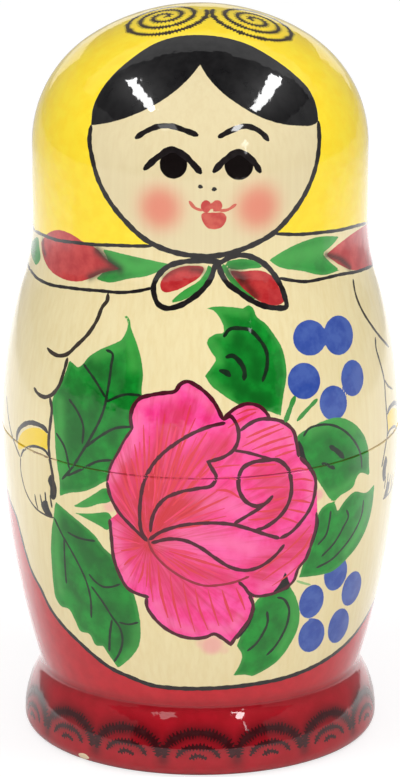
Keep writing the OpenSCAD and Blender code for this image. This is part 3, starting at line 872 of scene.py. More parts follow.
def turned_mesh(name, rings, poles):
    """A closed surface of revolution: x = r sin(angle), y = -r cos(angle), z = height of each ring, with
    one vertex on the axis at each end."""
    r, z = rings
    rows, cols = len(r), len(COLUMNS)
    grid = np.stack([
        r[:, None] * np.sin(COLUMNS), -r[:, None] * np.cos(COLUMNS), np.repeat(z[:, None], cols, 1)
    ], 2).reshape(-1, 3)
    row, col = np.meshgrid(np.arange(rows - 1), np.arange(cols), indexing="ij")
    here, beside = row * cols + col, row * cols + (col + 1) % cols
    quads = np.stack([here, beside, beside + cols, here + cols], 2).reshape(-1, 4)
    first = np.arange(cols)
    last = (rows - 1) * cols + first
    fans = np.concatenate([
        np.stack([np.full(cols, rows * cols), np.roll(first, -1), first], 1),
        np.stack([np.full(cols, rows * cols + 1), last, np.roll(last, -1)], 1),
    ])
    length = np.concatenate([[0], np.cumsum(np.hypot(np.diff(r), np.diff(z)))])
    v = (length + POLE_ROOM) / (length[-1] + 2 * POLE_ROOM)
    left, middle, right = first / cols, (first + 0.5) / cols, (first + 1) / cols
    u_quads = np.stack([left[col], right[col], right[col], left[col]], 2)
    v_quads = np.stack([v[row], v[row], v[row + 1], v[row + 1]], 2)
    u_fans = np.concatenate([np.stack([middle, right, left], 1), np.stack([middle, left, right], 1)])
    v_fans = np.repeat([[0, v[0], v[0]], [1, v[-1], v[-1]]], cols, 0)
    uv = np.stack([
        np.concatenate([u_quads.ravel(), u_fans.ravel()]), np.concatenate([v_quads.ravel(), v_fans.ravel()])
    ], 1)
    mesh = new_mesh(name, np.vstack([grid, [[0, 0, pole] for pole in poles]]), quads, fans, uv)
    mesh.set_sharp_from_angle(angle=SHARP_FROM)
    mesh.validate()
    return mesh


def paint(mesh, before, rows, after, bevel):
    """The painted fields of a run of skin rows as attributes, carried one ring further over the seam's
    bevel, which comes before the skin at -1 and after it at 1, with bare wood on all the other rings."""
    cols = len(COLUMNS)
    flat = np.zeros((len(SKIN_ROWS), cols))
    ahead, behind = int(bevel < 0), int(bevel > 0)
    layers = [("bare", flat, 1.0), ("seam", flat, 0.0)]
    layers += [(name, field, 0.0) for name, field in SOFT_FIELDS.items()]
    layers += [(name, field, REACH) for name, field in EDGE_FIELDS.items()]
    for name, field, off in layers:
        skin = field[rows]
        # The seam field is 1 on the bevel's ring, where the colour darkens to the joint's line, with
        # painted shade
        edge = np.ones((1, cols)) if name == "seam" else skin[-1:] if behind else skin[:1]
        values = np.concatenate([np.ravel(block) for block in (
            np.full((before - ahead, cols), off), edge[:ahead], skin, edge[:behind],
            np.full((after - behind, cols), off), np.full(2, off),
        )])
        mesh.attributes.new(name, "FLOAT", "POINT").data.foreach_set("value", values.astype(np.float32))


class Doll:
    """Sizes of doll n, taken from its CAD nodes: its outline's arcs, and the height that it stands at."""

    def __init__(self, n, bottom, top):
        low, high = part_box(bottom)
        self.n = n
        self.stand = low.z / MM
        self.belly = (high.x - low.x) / 2 / MM
        self.bevel = SEAM_BEVEL if bottom != top else 0.0
        self.height = (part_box(top)[1].z - low.z) / MM
        self.across, self.along = self.belly / BELLY_R, self.height / HEIGHT
        self.arcs = outline_arcs(self.across, self.along)
        self.seam = SEAM_Z * self.along
        self.mouth = self.belly - BELLY_WALL
        self.tenon = self.mouth + TENON_WALL
        self.socket = self.tenon + FIT_GAP
        self.tenon_top = (SEAM_Z + TENON_H) * self.along

    def skin(self, rows):
        """Rings of the chosen skin rows, as (r, z)."""
        r, z, _, _ = outline(self.arcs, SKIN_ROWS[rows])
        return np.stack([r, z], 1)

    def rows(self, first, last):
        """Skin rows of a piece by number, both ends kept: all of them on the outer doll, and every second
        one on the smaller dolls inside."""
        return np.unique(np.append(np.arange(first, last, 1 if self.n == 1 else 2), last - 1))


SOLID = "doll_5_solid"
DOLLS = [Doll(n, f"doll_{n}_bottom", f"doll_{n}_top") for n in (1, 2, 3, 4)] + [Doll(5, SOLID, SOLID)]
# Length of the steps on walls, on the narrow seam ledge and on flat floors, and steps round a fillet
WALL_PITCH, LEDGE_PITCH, FLOOR_PITCH, FILLET_STEPS = 1.5, 0.6, 3.0, 7
# Radius of the ring next to the axis, under a hollow doll's halves and under the solid one
POLE_RING, SOLID_POLE_RING = 3.0, 2.0
# In a top half's hollow: every so many rows are kept, this far from the crown and above the shelf
HOLLOW_ROWS, HOLLOW_CROWN, HOLLOW_SHELF = 6, 2, 0.5
# The neck between the hollow and the shelf over the socket: its step in, and its highest and lowest drop
NECK_STEP, NECK_DROP, NECK_LEAST = 0.05, 0.3, 0.1


def steps(points, pitch=WALL_PITCH):
    """Straight walls through a list of (r, z) corners, cut into short even pieces."""
    p = np.asarray(points, float)
    out = [p[:1]]
    for a, b in zip(p[:-1], p[1:]):
        n = max(1, int(np.ceil(np.linalg.norm(b - a) / pitch)))
        out.append(a + (b - a) * (np.arange(1, n + 1) / n)[:, None])
    return np.vstack(out)


def lower_half(doll, inner, rows):
    """Rings of a bottom half, from the axis under the foot, up the painted skin, over the seam ledge and
    the tenon, and down the hollow to the axis on its floor."""
    skin = doll.skin(rows)
    seat = FOOT_R * inner.across + SEAT_GAP
    a = np.linspace(0, -math.pi / 2, FILLET_STEPS)
    centre = np.array([seat - FLOOR_FILLET, FLOOR_T + FLOOR_FILLET])
    fillet = centre + FLOOR_FILLET * np.stack([np.cos(a), np.sin(a)], 1)
    ledge = steps([(doll.belly - SEAM_BEVEL, doll.seam), (doll.tenon, doll.seam)], LEDGE_PITCH)
    wall = steps([
        (doll.tenon, doll.seam), (doll.tenon, doll.tenon_top - TENON_BEVEL),
        (doll.tenon - TENON_BEVEL, doll.tenon_top), (doll.mouth, doll.tenon_top), (doll.mouth, doll.seam),
        (seat, FLOOR_T + GROOVE_TO * inner.along), fillet[0],
    ])[1:]
    floor = steps([fillet[-1], (POLE_RING, FLOOR_T)], FLOOR_PITCH)[1:]
    under = steps([(POLE_RING, 0.0), (skin[0, 0], 0.0)], FLOOR_PITCH)[:-1]
    inside = np.vstack([ledge, wall, fillet[1:], floor])
    return np.vstack([under, skin, inside]), (0.0, FLOOR_T), len(under), len(inside)


def upper_half(doll, inner, rows):
    """Rings of a top half, from the axis on its crown's inside, down the hollow and the socket, over the
    seam face and up the painted skin to the axis on the crown."""
    lift = FLOOR_T + HEAD_ROOM
    t = grid_rows(T_SEAM, T_CROWN)[::-HOLLOW_ROWS]
    r, z, _, _ = outline(inner.arcs, t[t < T_CROWN - HOLLOW_CROWN], NEST_GAP)
    hollow = np.stack([r, z + lift], 1)
    shelf = doll.tenon_top + TENON_END_GAP
    hollow = hollow[(hollow[:, 1] > shelf + HOLLOW_SHELF) & (hollow[:, 0] < doll.socket)]
    neck = min(doll.mouth, doll.socket - NECK_STEP)
    wall = steps([
        hollow[-1], (neck, max(hollow[-1, 1] - NECK_DROP, shelf + NECK_LEAST)), (neck, shelf),
        (doll.socket, shelf), (doll.socket, doll.seam), (doll.belly - SEAM_BEVEL, doll.seam),
    ])[1:]
    inside = np.vstack([hollow, wall])
    poles = inner.height + NEST_GAP + lift, doll.height
    return np.vstack([inside, doll.skin(rows)]), poles, len(inside), 0


# Brush lines as thin raised ribbons

BRUSH_SPREAD = 1.24
# The ribbon's section: share of the half width, and height over the skin in millimetres
SECTION = np.array([(-1.0, -0.02), (-0.62, 0.016), (0.0, 0.024), (0.62, 0.016), (1.0, -0.02), (0.0, -0.04)])
# A line's end keeps this share of its width and rounds off over this share of the width, or of the whole
# length where the brush ran dry
END_LEAST, END_ROUND, DRY_END = 0.12, 0.6, 0.45
# How the width wavers: share, turns of the wave per millimetre, and its start per point of the path
WAVES = ((0.09, 1.9, 1.3), (0.06, 4.3, 1.0))
# Teeth of a rough edge: share, turns per millimetre and the wave's level
TOOTH, TOOTH_RATE, TOOTH_LEVEL = 0.42, 10.5, 0.2
# Half widths under this are laid on thinner, and dry strokes by this share
FULL_HALF, DRY_THIN = 0.2, 0.45
# The steps along a brush line, in pixels
LINE_STEP, ROUGH_STEP = 2.2, 0.9
# Near the axis, a step round it is measured on this radius
LEAST_R = 0.5


def ribbon_arrays(doll, line, t_from, t_to):
    """Vertices, normals, faces, end caps, colour and ribbon coordinates of one brush line on a doll: a
    lens-shaped section swept along the line, with its edges just under the skin. Lines stop where the
    half stops."""
    colour, width, path, rough = line
    full = width * BRUSH_SPREAD / PX_PER_MM
    inside = (path[:, 1] >= t_from) & (path[:, 1] <= t_to)
    inside[1:] |= inside[:-1].copy()
    inside[:-1] |= inside[1:].copy()
    turns = np.where(np.diff(inside.astype(int)) != 0)[0] + 1
    runs = [s for s in np.split(np.arange(len(path)), turns) if inside[s[0]] and len(s) > 1]
    r_outer = np.interp(path[:, 1], T_TABLE, R_TABLE)
    metric = np.stack([np.maximum(r_outer, LEAST_R), np.ones(len(path))], 1)
    step = np.gradient(path, axis=0) * metric
    step /= np.maximum(np.linalg.norm(step, axis=1), TINY)[:, None]
    across = np.stack([-step[:, 1], step[:, 0]], 1) / metric
    gone = np.concatenate([[0], np.cumsum(np.linalg.norm(np.diff(path, axis=0) * metric[1:], axis=1))])
    dry = colour.startswith("petal")
    end = np.minimum(gone, gone[-1] - gone) / (DRY_END * gone[-1] if dry else END_ROUND * full)
    half = full / 2 * np.sqrt(np.clip(END_LEAST + (1 - END_LEAST) * end, 0, 1))
    half *= 1 + sum(share * np.sin(gone * rate + begin * len(path)) for share, rate, begin in WAVES)
    half *= 1 + TOOTH * rough * np.sign(np.sin(gone * TOOTH_RATE) - TOOTH_LEVEL)
    out = []
    k = len(SECTION)
    for run in runs:
        side, lift = SECTION[:, 0], SECTION[:, 1]
        offset = half[run][:, None] * side[None]
        spot = path[run][:, None, :] + across[run][:, None, :] * offset[..., None]
        angle, t = spot[..., 0], np.clip(spot[..., 1], t_from, t_to)
        r, z, nr, nz = outline(doll.arcs, t)
        r = r - np.maximum(0, doll.bevel - np.abs(t - T_SEAM))
        thick = np.minimum(1, half[run] / FULL_HALF)[:, None] * lift[None] * (DRY_THIN if dry else 1)
        r, z = r + nr * thick, z + nz * thick + doll.stand
        points = np.stack([r * np.sin(angle), -r * np.cos(angle), z], 2).reshape(-1, 3)
        normals = np.stack([nr * np.sin(angle), -nr * np.cos(angle), nz], 2).reshape(-1, 3)
        n = len(run)
        i, j = np.meshgrid(np.arange(n - 1), np.arange(k), indexing="ij")
        here, beside = i * k + j, i * k + (j + 1) % k
        quads = np.stack([here, here + k, beside + k, beside], 2).reshape(-1, 4)
        caps = np.stack([np.arange(k), (n - 1) * k + np.arange(k)[::-1]])
        at, low, high = gone[run], j / k, (j + 1) / k
        uv = np.stack([
            np.stack([at[i], at[i + 1], at[i + 1], at[i]], 2), np.stack([low, low, high, high], 2)
        ], 3).reshape(-1, 2)
        out.append((points, normals, quads, caps, colour, uv))
    return out


def brush_mesh(name, doll, lines, t_from, t_to):
    """All the brush lines of one half as one mesh, with a colour for each line and a row of the bake map
    for each ribbon."""
    parts = [part for line in lines for part in ribbon_arrays(doll, line, t_from, t_to)]
    points, normals, quads, caps, colours, uvs = zip(*parts)
    base = np.cumsum([0] + [len(p) for p in points[:-1]])
    count, ribbon = len(parts), np.arange(len(parts))
    uv = np.vstack(uvs)
    row = np.repeat(ribbon, [len(part) for part in uvs])
    cap_row = np.repeat(ribbon, 2 * len(SECTION))
    quad_uv = np.stack([uv[:, 0] / uv[:, 0].max() * 0.98 + 0.01, (row + 0.1 + 0.8 * uv[:, 1]) / count], 1)
    cap_uv = np.stack([np.full(len(cap_row), 0.005), (cap_row + 0.5) / count], 1)
    mesh = new_mesh(
        name, np.vstack(points), np.vstack([q + b for q, b in zip(quads, base)]),
        np.vstack([c + b for c, b in zip(caps, base)]), np.vstack([quad_uv, cap_uv]),
    )
    tint = np.repeat([rgba(*TINTS[colour]) for colour in colours], [len(p) for p in points], 0)
    tints = mesh.attributes.new("tint", "FLOAT_COLOR", "POINT")
    tints.data.foreach_set("color", tint.astype(np.float32).ravel())
    mesh.normals_split_custom_set_from_vertices(np.vstack(normals))
    return mesh


def skin_lines(lines):
    """Brush lines carried onto the skin: colour, width, path, and whether the edge is toothed."""
    out = []
    for colour, width, points in lines:
        rough = colour.endswith("_rough")
        path = on_skin(smooth_path(points, step=ROUGH_STEP if rough else LINE_STEP))
        out.append((colour.removesuffix("_rough"), width, path, rough))
    return out


def moved(lines, *moves):
    """Brush lines whose paths are moved by each of some functions."""
    return [(colour, width, move(path), rough) for colour, width, path, rough in lines for move in moves]


def cut_at_seam(path):
    """A path with a point added wherever it crosses the seam or the edge of a bevel there."""
    for level in (T_SEAM - SEAM_BEVEL, T_SEAM, T_SEAM + SEAM_BEVEL):
        d = path[:, 1] - level
        at = np.where(d[:-1] * d[1:] < 0)[0]
        share = (d[at] / (d[at] - d[at + 1]))[:, None]
        path = np.insert(path, at + 1, path[at] + (path[at + 1] - path[at]) * share, 0)
    return path


# Two burnt spirals on the crown, set out in plan: centre, hand and start angle of each, then the outer
# radius, the pitch in millimetres, the turns, the points and the width in pixels
SPIRALS = [((-6.2, -2.8), -1, 0.3), ((9.4, -2.6), 1, 2.8)]
SPIRAL_OUT, SPIRAL_PITCH, SPIRAL_TURNS, SPIRAL_POINTS, SPIRAL_WIDTH = 7.5, 2.2, 3.3, 700, 6.0


def crown_spirals():
    """Spirals whose radius falls evenly with the turn, laid on the crown from above."""
    out = []
    for (cx, cy), hand, start in SPIRALS:
        a = np.linspace(0, TURN * SPIRAL_TURNS, SPIRAL_POINTS)
        rad = SPIRAL_OUT - SPIRAL_PITCH * a / TURN
        x, y = cx + rad * np.cos(start + hand * a), cy + rad * np.sin(start + hand * a)
        t = along_outline(np.hypot(x, y), np.full(len(x), HEIGHT))
        out.append(("umber", SPIRAL_WIDTH, np.stack([np.unwrap(np.arctan2(x, -y)), t], 1), True))
    return out


ROUND_POINTS = 420


def line_round(width, points, start, end, level=None, ease=0.5):
    """An ink line round the doll between two angles, on the same ring as its painted edge."""
    angles = np.linspace(start, end, ROUND_POINTS)
    return "ink", width, np.stack([angles, ring_line(points, angles, level, ease)], 1), False


def ends(points):
    """Angles of the rightmost and the leftmost of some points."""
    angles = on_skin(points)[:, 0]
    return angles.max(), angles.min()


APRON_RIGHT, APRON_LEFT = ends(APRON)
BACK_LINES = [
    line_round(width, points, ends(points)[0], ends(points)[1] + TURN)
    for width, points in ((BAND_TOP_WIDTH, BAND_TOP), (BAND_LOW_WIDTH, BAND_LOW))
] + [line_round(APRON_WIDTH, APRON, APRON_LEFT - APRON_EASE, APRON_RIGHT + APRON_EASE, T_SEAM, APRON_EASE)]


# Materials


class Wire:
    """One value in a material's node tree. Arithmetic on it adds nodes."""

    def __init__(self, tree, socket=None):
        self.tree, self.socket = tree, socket

    def node(self, kind, settings, inputs, out=0):
        """Adds any node: its settings first, then its inputs by name or number, and gives one output."""
        n = self.tree.nodes.new(kind)
        for key, value in settings.items():
            setattr(n, key, value)
        for key, value in inputs.items():
            if isinstance(value, Wire):
                self.tree.links.new(value.socket, n.inputs[key])
            else:
                n.inputs[key].default_value = value
        return Wire(self.tree, n.outputs[out])

    def output(self, name):
        """Another output of the same node."""
        return Wire(self.tree, self.socket.node.outputs[name])

    def math(self, op, a, b=0.0, clamp=False):
        return self.node("ShaderNodeMath", {"operation": op, "use_clamp": clamp}, {0: a, 1: b})

    def __add__(self, other):
        return self.math("ADD", self, other)

    __radd__ = __add__

    def __sub__(self, other):
        return self.math("SUBTRACT", self, other)

    def __rsub__(self, other):
        return self.math("SUBTRACT", other, self)

    def __mul__(self, other):
        return self.math("MULTIPLY", self, other)

    __rmul__ = __mul__

    def clamp(self):
        return self.math("ADD", self, 0.0, clamp=True)

    def most(self, other):
        return self.math("MAXIMUM", self, other)

    def between(self, low, high):
        """0 at low and 1 at high, smoothly."""
        inputs = {0: self, 1: low, 2: high, 3: 0.0, 4: 1.0}
        return self.node("ShaderNodeMapRange", {"interpolation_type": "SMOOTHSTEP"}, inputs)

    def blend(self, first, second):
        """The first colour at 0 and the second at 1."""
        return self.node("ShaderNodeMix", {"data_type": "RGBA"}, {0: self, 6: first, 7: second}, 2)


def rgba(*rgb):
    return linear(rgb) + (1.0,)


def grey(tone):
    return tone, tone, tone, 1.0


WHITE = grey(1.0)
# Paint and the clear lacquer over it, as shader inputs
PAINT_ROUGH = 0.4
LACQUER_OVER = {"Specular IOR Level": 0.1, "Coat Roughness": 0.05, "Coat IOR": 1.5}


def new_material(name):
    """A material with an empty node tree, and a loose wire to start it from."""
    material = bpy.data.materials.new(name)
    material.use_nodes = True
    material.node_tree.nodes.clear()
    return material, Wire(material.node_tree)


def close_tree(shader, kind="ShaderNodeOutputMaterial"):
    """Joins a shader to its tree's output."""
    end = shader.tree.nodes.new(kind)
    shader.tree.links.new(shader.socket, end.inputs["Surface"])


def painted_lacquer(name):
    """Paint on turned wood under a clear lacquer, with the wood bare inside. Every layer is a signed
    distance from its painted edge, with a little noise where a brush stopped."""
    material, start = new_material(name)
    place = start.node("ShaderNodeTexCoord", {}, {}, 3)

    def noise(scale, detail=3.0, rough=0.55):
        where = start.node("ShaderNodeMapping", {}, {"Vector": place, "Scale": scale})
        inputs = {"Vector": where, "Scale": 1.0, "Detail": detail, "Roughness": rough}
        return start.node("ShaderNodeTexNoise", {}, inputs)

    def read(attribute):
        return start.node("ShaderNodeAttribute", {"attribute_name": attribute}, {}, 2)

    wobble = (noise((1500, 1500, 1500), 2.0) - 0.5) * 0.16
    grain = noise((1300, 1300, 30), 4.0, 0.6)
    rings = noise((160, 160, 6), 2.0, 0.5)
    dabs = noise((420, 420, 420))

    def over(colour, attribute, paint, soft=0.05):
        """Paint laid over a colour inside an edge."""
        return (read(attribute) + wobble).between(soft, -soft).blend(colour, paint)

    def dabbed(first, second, low=0.3, high=0.7):
        """Paint in two tones, dabbed on."""
        return dabs.between(low, high).blend(rgba(*first), rgba(*second))

    def grained(first, second):
        """Two tones that follow the grain of the wood."""
        return grain.between(0.3, 0.75).blend(rgba(*first), rgba(*second))

    colour = grained((236, 221, 173), (231, 213, 161))
    colour = (rings.between(0.45, 0.7) * 0.25).blend(colour, rgba(232, 209, 150))
    colour = (read("spill").between(0.15, 0.9) * 0.6).blend(colour, rgba(240, 140, 160))
    colour = over(colour, "berries", dabbed((44, 74, 160), (66, 94, 172), 0.35, 0.65))

    green = dabbed((0, 118, 30), (8, 146, 42), 0.35)
    green = (read("leaf_dark") * 0.75).blend(green, rgba(0, 86, 18))
    green = (read("leaf_light") * 0.8).blend(green, rgba(72, 168, 72))
    edge = (read("leaves") + 0.5).between(-0.35, 0.35) * 0.3
    colour = over(colour, "leaves", edge.blend(green, rgba(84, 166, 84)))

    warm = read("strokes")
    pink = dabbed((244, 50, 136), (252, 82, 166))
    pink = ((warm * (dabs * 1.5 + 0.25)).clamp() * 0.95).blend(pink, rgba(206, 44, 52))
    pink = (read("petal_light") * 0.6).blend(pink, rgba(250, 128, 176))
    inputs = {0: read("ray_x"), 1: read("ray_y"), 2: read("ray_far") * 0.006}
    ray = start.node("ShaderNodeCombineXYZ", {}, inputs)
    inputs = {"Vector": ray, "Scale": 15.0, "Detail": 3.0, "Roughness": 0.6}
    streaks = start.node("ShaderNodeTexNoise", {}, inputs)
    pink = (streaks.between(0.46, 0.7) * (warm * 0.5 + 0.4)).blend(pink, rgba(206, 38, 50))
    pink = (streaks.between(0.46, 0.3) * 0.35).blend(pink, rgba(250, 96, 160))
    colour = over(colour, "rose", pink)

    colour = over(colour, "skirt", dabbed((186, 14, 32), (198, 22, 38)))
    colour = over(colour, "foot", dabbed((158, 4, 22), (170, 8, 28)))
    colour = (read("wash") * (dabs * 0.6 + 0.55)).clamp().blend(colour, rgba(66, 1, 8))
    # A darker red band along the groove over the foot: the dark line painted there, and painted shade in
    # the crease
    colour = (read("groove") * 0.45).blend(colour, rgba(112, 6, 16))

    colour = over(colour, "kerchief", dabbed((254, 219, 28), (255, 227, 42)))
    colour = over(colour, "flowers", dabbed((178, 30, 36), (200, 62, 60)))
    colour = (read("smudge") * 0.9).clamp().blend(colour, rgba(34, 26, 18))
    colour = over(colour, "gilt", rgba(246, 210, 30))

    skin = grained((227, 212, 169), (223, 206, 162))
    colour = over(colour, "face", (read("blush") * 0.9).blend(skin, rgba(226, 120, 100)))
    colour = over(colour, "lips", dabbed((190, 54, 50), (208, 92, 76), 0.35, 0.65))
    hair = noise((500, 500, 40)).between(0.3, 0.7).blend(rgba(14, 13, 15), rgba(28, 27, 28))
    colour = over(colour, "hair", hair)
    colour = over(colour, "dark", rgba(16, 9, 8))
    colour = over(colour, "chip", rgba(236, 214, 176))

    seam, bare = read("seam"), read("bare")
    # Darker brown on the seam's bevel: the joint's dark line, and painted shade where the bevel faces the
    # lamps
    colour = (seam * 0.55).blend(colour, rgba(110, 50, 36))
    turned = start.node("ShaderNodeMapping", {}, {"Vector": place, "Scale": (0.0, 0.0, 1.0)})
    marks = start.node("ShaderNodeTexNoise", {}, {"Vector": turned, "Scale": 2600.0, "Detail": 2.0})
    wood = grained((236, 214, 168), (220, 190, 136))
    wood = (marks.between(0.5, 0.75) * 0.4).blend(wood, rgba(206, 172, 116))

    bump = start.node("ShaderNodeBump", {}, {"Strength": 0.06, "Distance": 0.00004, "Height": grain})
    waves = noise((300, 300, 240), 2.0)
    ripple = start.node("ShaderNodeBump", {}, {"Strength": 0.9, "Distance": 0.00009, "Height": waves})
    close_tree(start.node("ShaderNodeBsdfPrincipled", {}, {
        "Base Color": bare.blend(colour, wood), "Roughness": bare * 0.25 + PAINT_ROUGH,
        "Coat Weight": (1.0 - bare) * seam.between(0.06, 0.0), "Normal": bump, "Coat Normal": ripple,
        **LACQUER_OVER,
    }))
    return material


def brush_paint(name):
    """Paint of the brush lines under the same lacquer: each line's own colour, thinner where the brush
    ran dry."""
    material, start = new_material(name)
    place = start.node("ShaderNodeTexCoord", {}, {}, 3)
    tint = start.node("ShaderNodeAttribute", {"attribute_name": "tint"}, {}, 0)
    dabs = start.node("ShaderNodeTexNoise", {}, {"Vector": place, "Scale": 900.0, "Detail": 3.0})
    inputs = {0: 1.0, 6: tint, 7: (0.008, 0.006, 0.006, 1.0)}
    lighter = start.node("ShaderNodeMix", {"data_type": "RGBA", "blend_type": "ADD"}, inputs, 2)
    close_tree(start.node("ShaderNodeBsdfPrincipled", {}, {
        "Base Color": dabs.between(0.35, 0.75).blend(tint, lighter), "Roughness": PAINT_ROUGH,
        "Coat Weight": 1.0, **LACQUER_OVER,
    }))
    return material


LACQUER = painted_lacquer("painted_lacquer")
BRUSHED = brush_paint("brush_paint")


# The dolls

LEFT_ARM = skin_lines(ARM_LINES)
ALL_LINES = moved(
    skin_lines(FACE_LINES + BAND_LINES) + crown_spirals()
    + skin_lines(LEAF_LINES + petal_strokes() + ROSE_LINES + DRESS_LINES) + BACK_LINES
    + LEFT_ARM + moved(LEFT_ARM, other_side) + moved(skin_lines(SCALLOPS), *FOOT_TURNS),
    cut_at_seam,
)


def link(name, data):
    """A new object in the scene."""
    obj = bpy.data.objects.new(name, data)
    bpy.context.scene.collection.objects.link(obj)
    return obj


def finish_piece(name, mesh, material, node):
    """A piece with its material, which rides on its node."""
    mesh.materials.append(material)
    obj = link(name, mesh)
    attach(obj, node)
    return obj


def turned_piece(node, doll, half, rows, bevel):
    """The turned and painted piece of a node, in place of its CAD form."""
    rings, poles, before, after = half
    r, z = rings[:, 0], rings[:, 1] + doll.stand
    mesh = turned_mesh(node + "_turned", (r, z), [pole + doll.stand for pole in poles])
    paint(mesh, before, rows, after, bevel)
    obj = finish_piece(node + "_turned", mesh, LACQUER, node)
    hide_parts(node)


def brushed_piece(node, doll, t_from, t_to):
    """The brush lines on a node, which lie between two outline lengths."""
    mesh = brush_mesh(node + "_brushwork", doll, ALL_LINES, t_from, t_to)
    finish_piece(node + "_brushwork", mesh, BRUSHED, node)


LOW_COUNT, TOP_COUNT = len(LOWER_ROWS), len(SKIN_ROWS) - 1
for doll, inner in zip(DOLLS[:-1], DOLLS[1:]):
    bottom, top = f"doll_{doll.n}_bottom", f"doll_{doll.n}_top"
    rows = doll.rows(0, LOW_COUNT)
    turned_piece(bottom, doll, lower_half(doll, inner, rows), rows, 1)
    rows = doll.rows(LOW_COUNT, TOP_COUNT)
    turned_piece(top, doll, upper_half(doll, inner, rows), rows, -1)
    brushed_piece(bottom, doll, 0, T_SEAM)
    brushed_piece(top, doll, T_SEAM, T_CROWN)

smallest = DOLLS[-1]
rows = smallest.rows(0, TOP_COUNT)
skin = smallest.skin(rows)
under = steps([(SOLID_POLE_RING, 0.0), (skin[0, 0], 0.0)], FLOOR_PITCH)[:-1]
whole = np.vstack([under, skin]), (0.0, smallest.height), len(under), 0
turned_piece(SOLID, smallest, whole, rows, 0)
brushed_piece(SOLID, smallest, 0, T_CROWN)


# Floor, light and camera


def level(x, y, z=0.0):
    """Corners of a level sheet between two x and two y."""
    return [(x[0], y[0], z), (x[1], y[0], z), (x[1], y[1], z), (x[0], y[1], z)]


def sheets(name, corners, material):
    """Flat sheets of the stage, from the four corners of each."""
    mesh = bpy.data.meshes.new(name)
    mesh.from_pydata(sum(corners, []), [], np.arange(4 * len(corners)).reshape(-1, 4).tolist())
    mesh.materials.append(material)
    obj = link(name, mesh)
    return obj


def floor():
    """A plain pale floor that the camera sees as white, with the doll's shadow on it. Reflections show it
    brighter in a half ring behind the doll."""
    half = 6.0
    material, start = new_material("pale_floor")
    camera = start.node("ShaderNodeLightPath", {}, {})
    place = start.node("ShaderNodeTexCoord", {}, {}, 3)
    behind = start.node("ShaderNodeSeparateXYZ", {}, {0: place}, 1)
    away = start.node("ShaderNodeVectorMath", {"operation": "LENGTH"}, {0: place}, 1)
    ring = behind.between(-0.02, 0.06) * away.between(0.42, 0.33)
    matt = start.node("ShaderNodeBsdfDiffuse", {}, {"Color": (0.82, 0.81, 0.8, 1.0)})
    sheen = start.node("ShaderNodeEmission", {}, {"Color": WHITE, "Strength": 0.7})
    brighter = start.node("ShaderNodeAddShader", {}, {0: matt, 1: sheen})
    mirrored = camera.output("Is Glossy Ray") * ring
    plain = start.node("ShaderNodeMixShader", {}, {0: mirrored, 1: matt, 2: brighter})
    thin = start.node("ShaderNodeBsdfDiffuse", {}, {"Color": grey(0.32)})
    glow = start.node("ShaderNodeEmission", {}, {"Color": WHITE, "Strength": 0.76})
    seen = start.node("ShaderNodeAddShader", {}, {0: thin, 1: glow})
    close_tree(start.node("ShaderNodeMixShader", {}, {0: camera, 1: plain, 2: seen}))
    sheets("floor", [level((-half, half), (-half, half))], material)


def room():
    """A room that only the lacquer's reflections show: a dark wall, floor and ceiling in front of the
    table, grey walls beside it, and a ceiling behind it that is lit near the table and dim further back.
    Sizes are in metres."""
    half, table, near, far, back, deep = 3.2, 0.8, -0.7, -3.2, 2.4, 6.0
    top, lit, dim, loft = 2.1, 0.85, 1.75, 14.0
    wide = -half, half

    def upright(x, y):
        return [(x[0], y[0], MM), (x[1], y[1], MM), (x[1], y[1], top), (x[0], y[0], top)]

    for name, tone, corners in (
        ("room_walls", (0.012, 0.012, 0.014, 1.0), [
            level(wide, (far, near), MM), upright(wide, (far, far)), level(wide, (far, lit), top),
        ]),
        ("room_sides", grey(0.3), [
            level((-half, -table), (near, back), MM), level((table, half), (near, back), MM),
            upright((-half, -half), (far, deep)), upright((half, half), (far, deep)),
        ]),
        ("room_ceiling", grey(0.6), [level(wide, (lit, dim), top)]),
        ("room_loft", grey(0.2), [level(wide, (dim, loft), top)]),
    ):
        material, start = new_material(name)
        close_tree(start.node("ShaderNodeEmission", {}, {"Color": tone, "Strength": 1.0}))
        obj = sheets(name, corners, material)
        obj.visible_camera = obj.visible_diffuse = obj.visible_shadow = False


def sky():
    """White to the camera and in reflections, and a plain even light on everything else."""
    world = bpy.data.worlds.new("studio")
    bpy.context.scene.world = world
    world.use_nodes = True
    world.node_tree.nodes.clear()
    start = Wire(world.node_tree)
    camera = start.node("ShaderNodeLightPath", {}, {})
    seen = camera.most(camera.output("Is Glossy Ray")).most(camera.output("Is Transmission Ray"))
    white = start.node("ShaderNodeBackground", {}, {"Color": WHITE, "Strength": 1.0})
    light = start.node("ShaderNodeBackground", {}, {"Color": WHITE, "Strength": 0.58})
    mixed = start.node("ShaderNodeMixShader", {}, {0: seen, 1: light, 2: white})
    close_tree(mixed, "ShaderNodeOutputWorld")


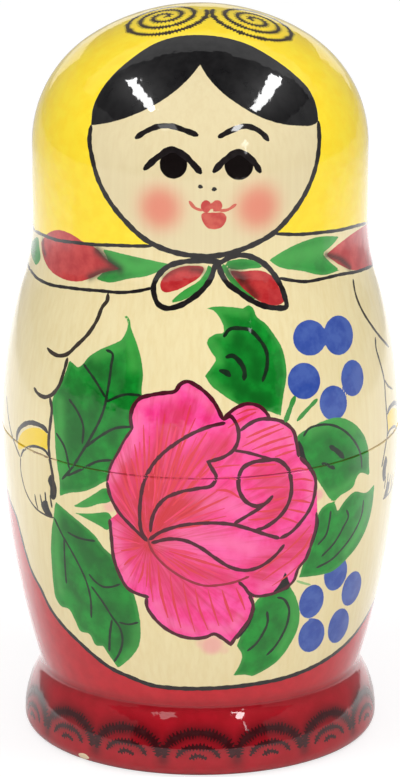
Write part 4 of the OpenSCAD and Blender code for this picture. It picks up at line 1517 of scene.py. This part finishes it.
# What the soft lamps point at and how far off they are, and the height of the ceiling lamps, in metres
LAMP_AIM, LAMP_AWAY, TUBE_Z = Vector((0, 0, 0.11)), 1.05, 2.0


def area_light(name, shape, size, power):
    data = bpy.data.lights.new(name, "AREA")
    data.shape, data.size, data.size_y, data.energy = shape, size[0], size[1], power
    return link(name, data)


def lamp(name, angle, rise, size, power, mirrored=True):
    """A soft lamp at an angle round the doll from the front and a rise above the level, in degrees."""
    obj = area_light(name, "ELLIPSE", size, power)
    a, b = math.radians(angle), math.radians(rise)
    out = Vector((math.sin(a) * math.cos(b), -math.cos(a) * math.cos(b), math.sin(b)))
    obj.location = LAMP_AIM + out * LAMP_AWAY
    obj.visible_glossy = mirrored
    obj.rotation_mode = "QUATERNION"
    obj.rotation_quaternion = out.to_track_quat("Z", "Y")


def tube(name, x, back, front, width, power):
    """A long ceiling lamp over the table, running to and fro, which only the lacquer's reflections show."""
    obj = area_light(name, "RECTANGLE", (width, back - front), power)
    obj.location = (x, (back + front) / 2, TUBE_Z)
    obj.visible_diffuse = False


floor()
room()
sky()
tube("tube_left", -1.18, 0.4, -1.15, 0.3, 34.0)
tube("tube_right", 1.34, 0.6, -1.05, 0.34, 41.0)
tube("tube_left_far", -1.1, -1.95, -2.5, 0.6, 3.0)
tube("tube_right_far", 1.28, -1.95, -2.5, 0.3, 9.0)
lamp("glint", 31.5, 18.8, (0.05, 0.24), 0.2)
lamp("soft_left", -58, 52, (0.5, 0.5), 2.5, mirrored=False)
lamp("soft_right", 64, 52, (0.5, 0.5), 2.5, mirrored=False)
lamp("fill_front", 0, 14, (0.9, 0.6), 3.3, mirrored=False)

camera = bpy.data.cameras.new("camera")
camera.sensor_width, camera.sensor_fit = 36.0, "AUTO"
camera.lens = FOCAL_PX / IMAGE_H * camera.sensor_width
camera.clip_end = 50.0
camera.dof.use_dof = False
viewer = link("camera", camera)
viewer.location = CAMERA_AT * MM
viewer.rotation_euler = (math.pi / 2 - PITCH_DOWN, 0, 0)
bpy.context.scene.camera = viewer
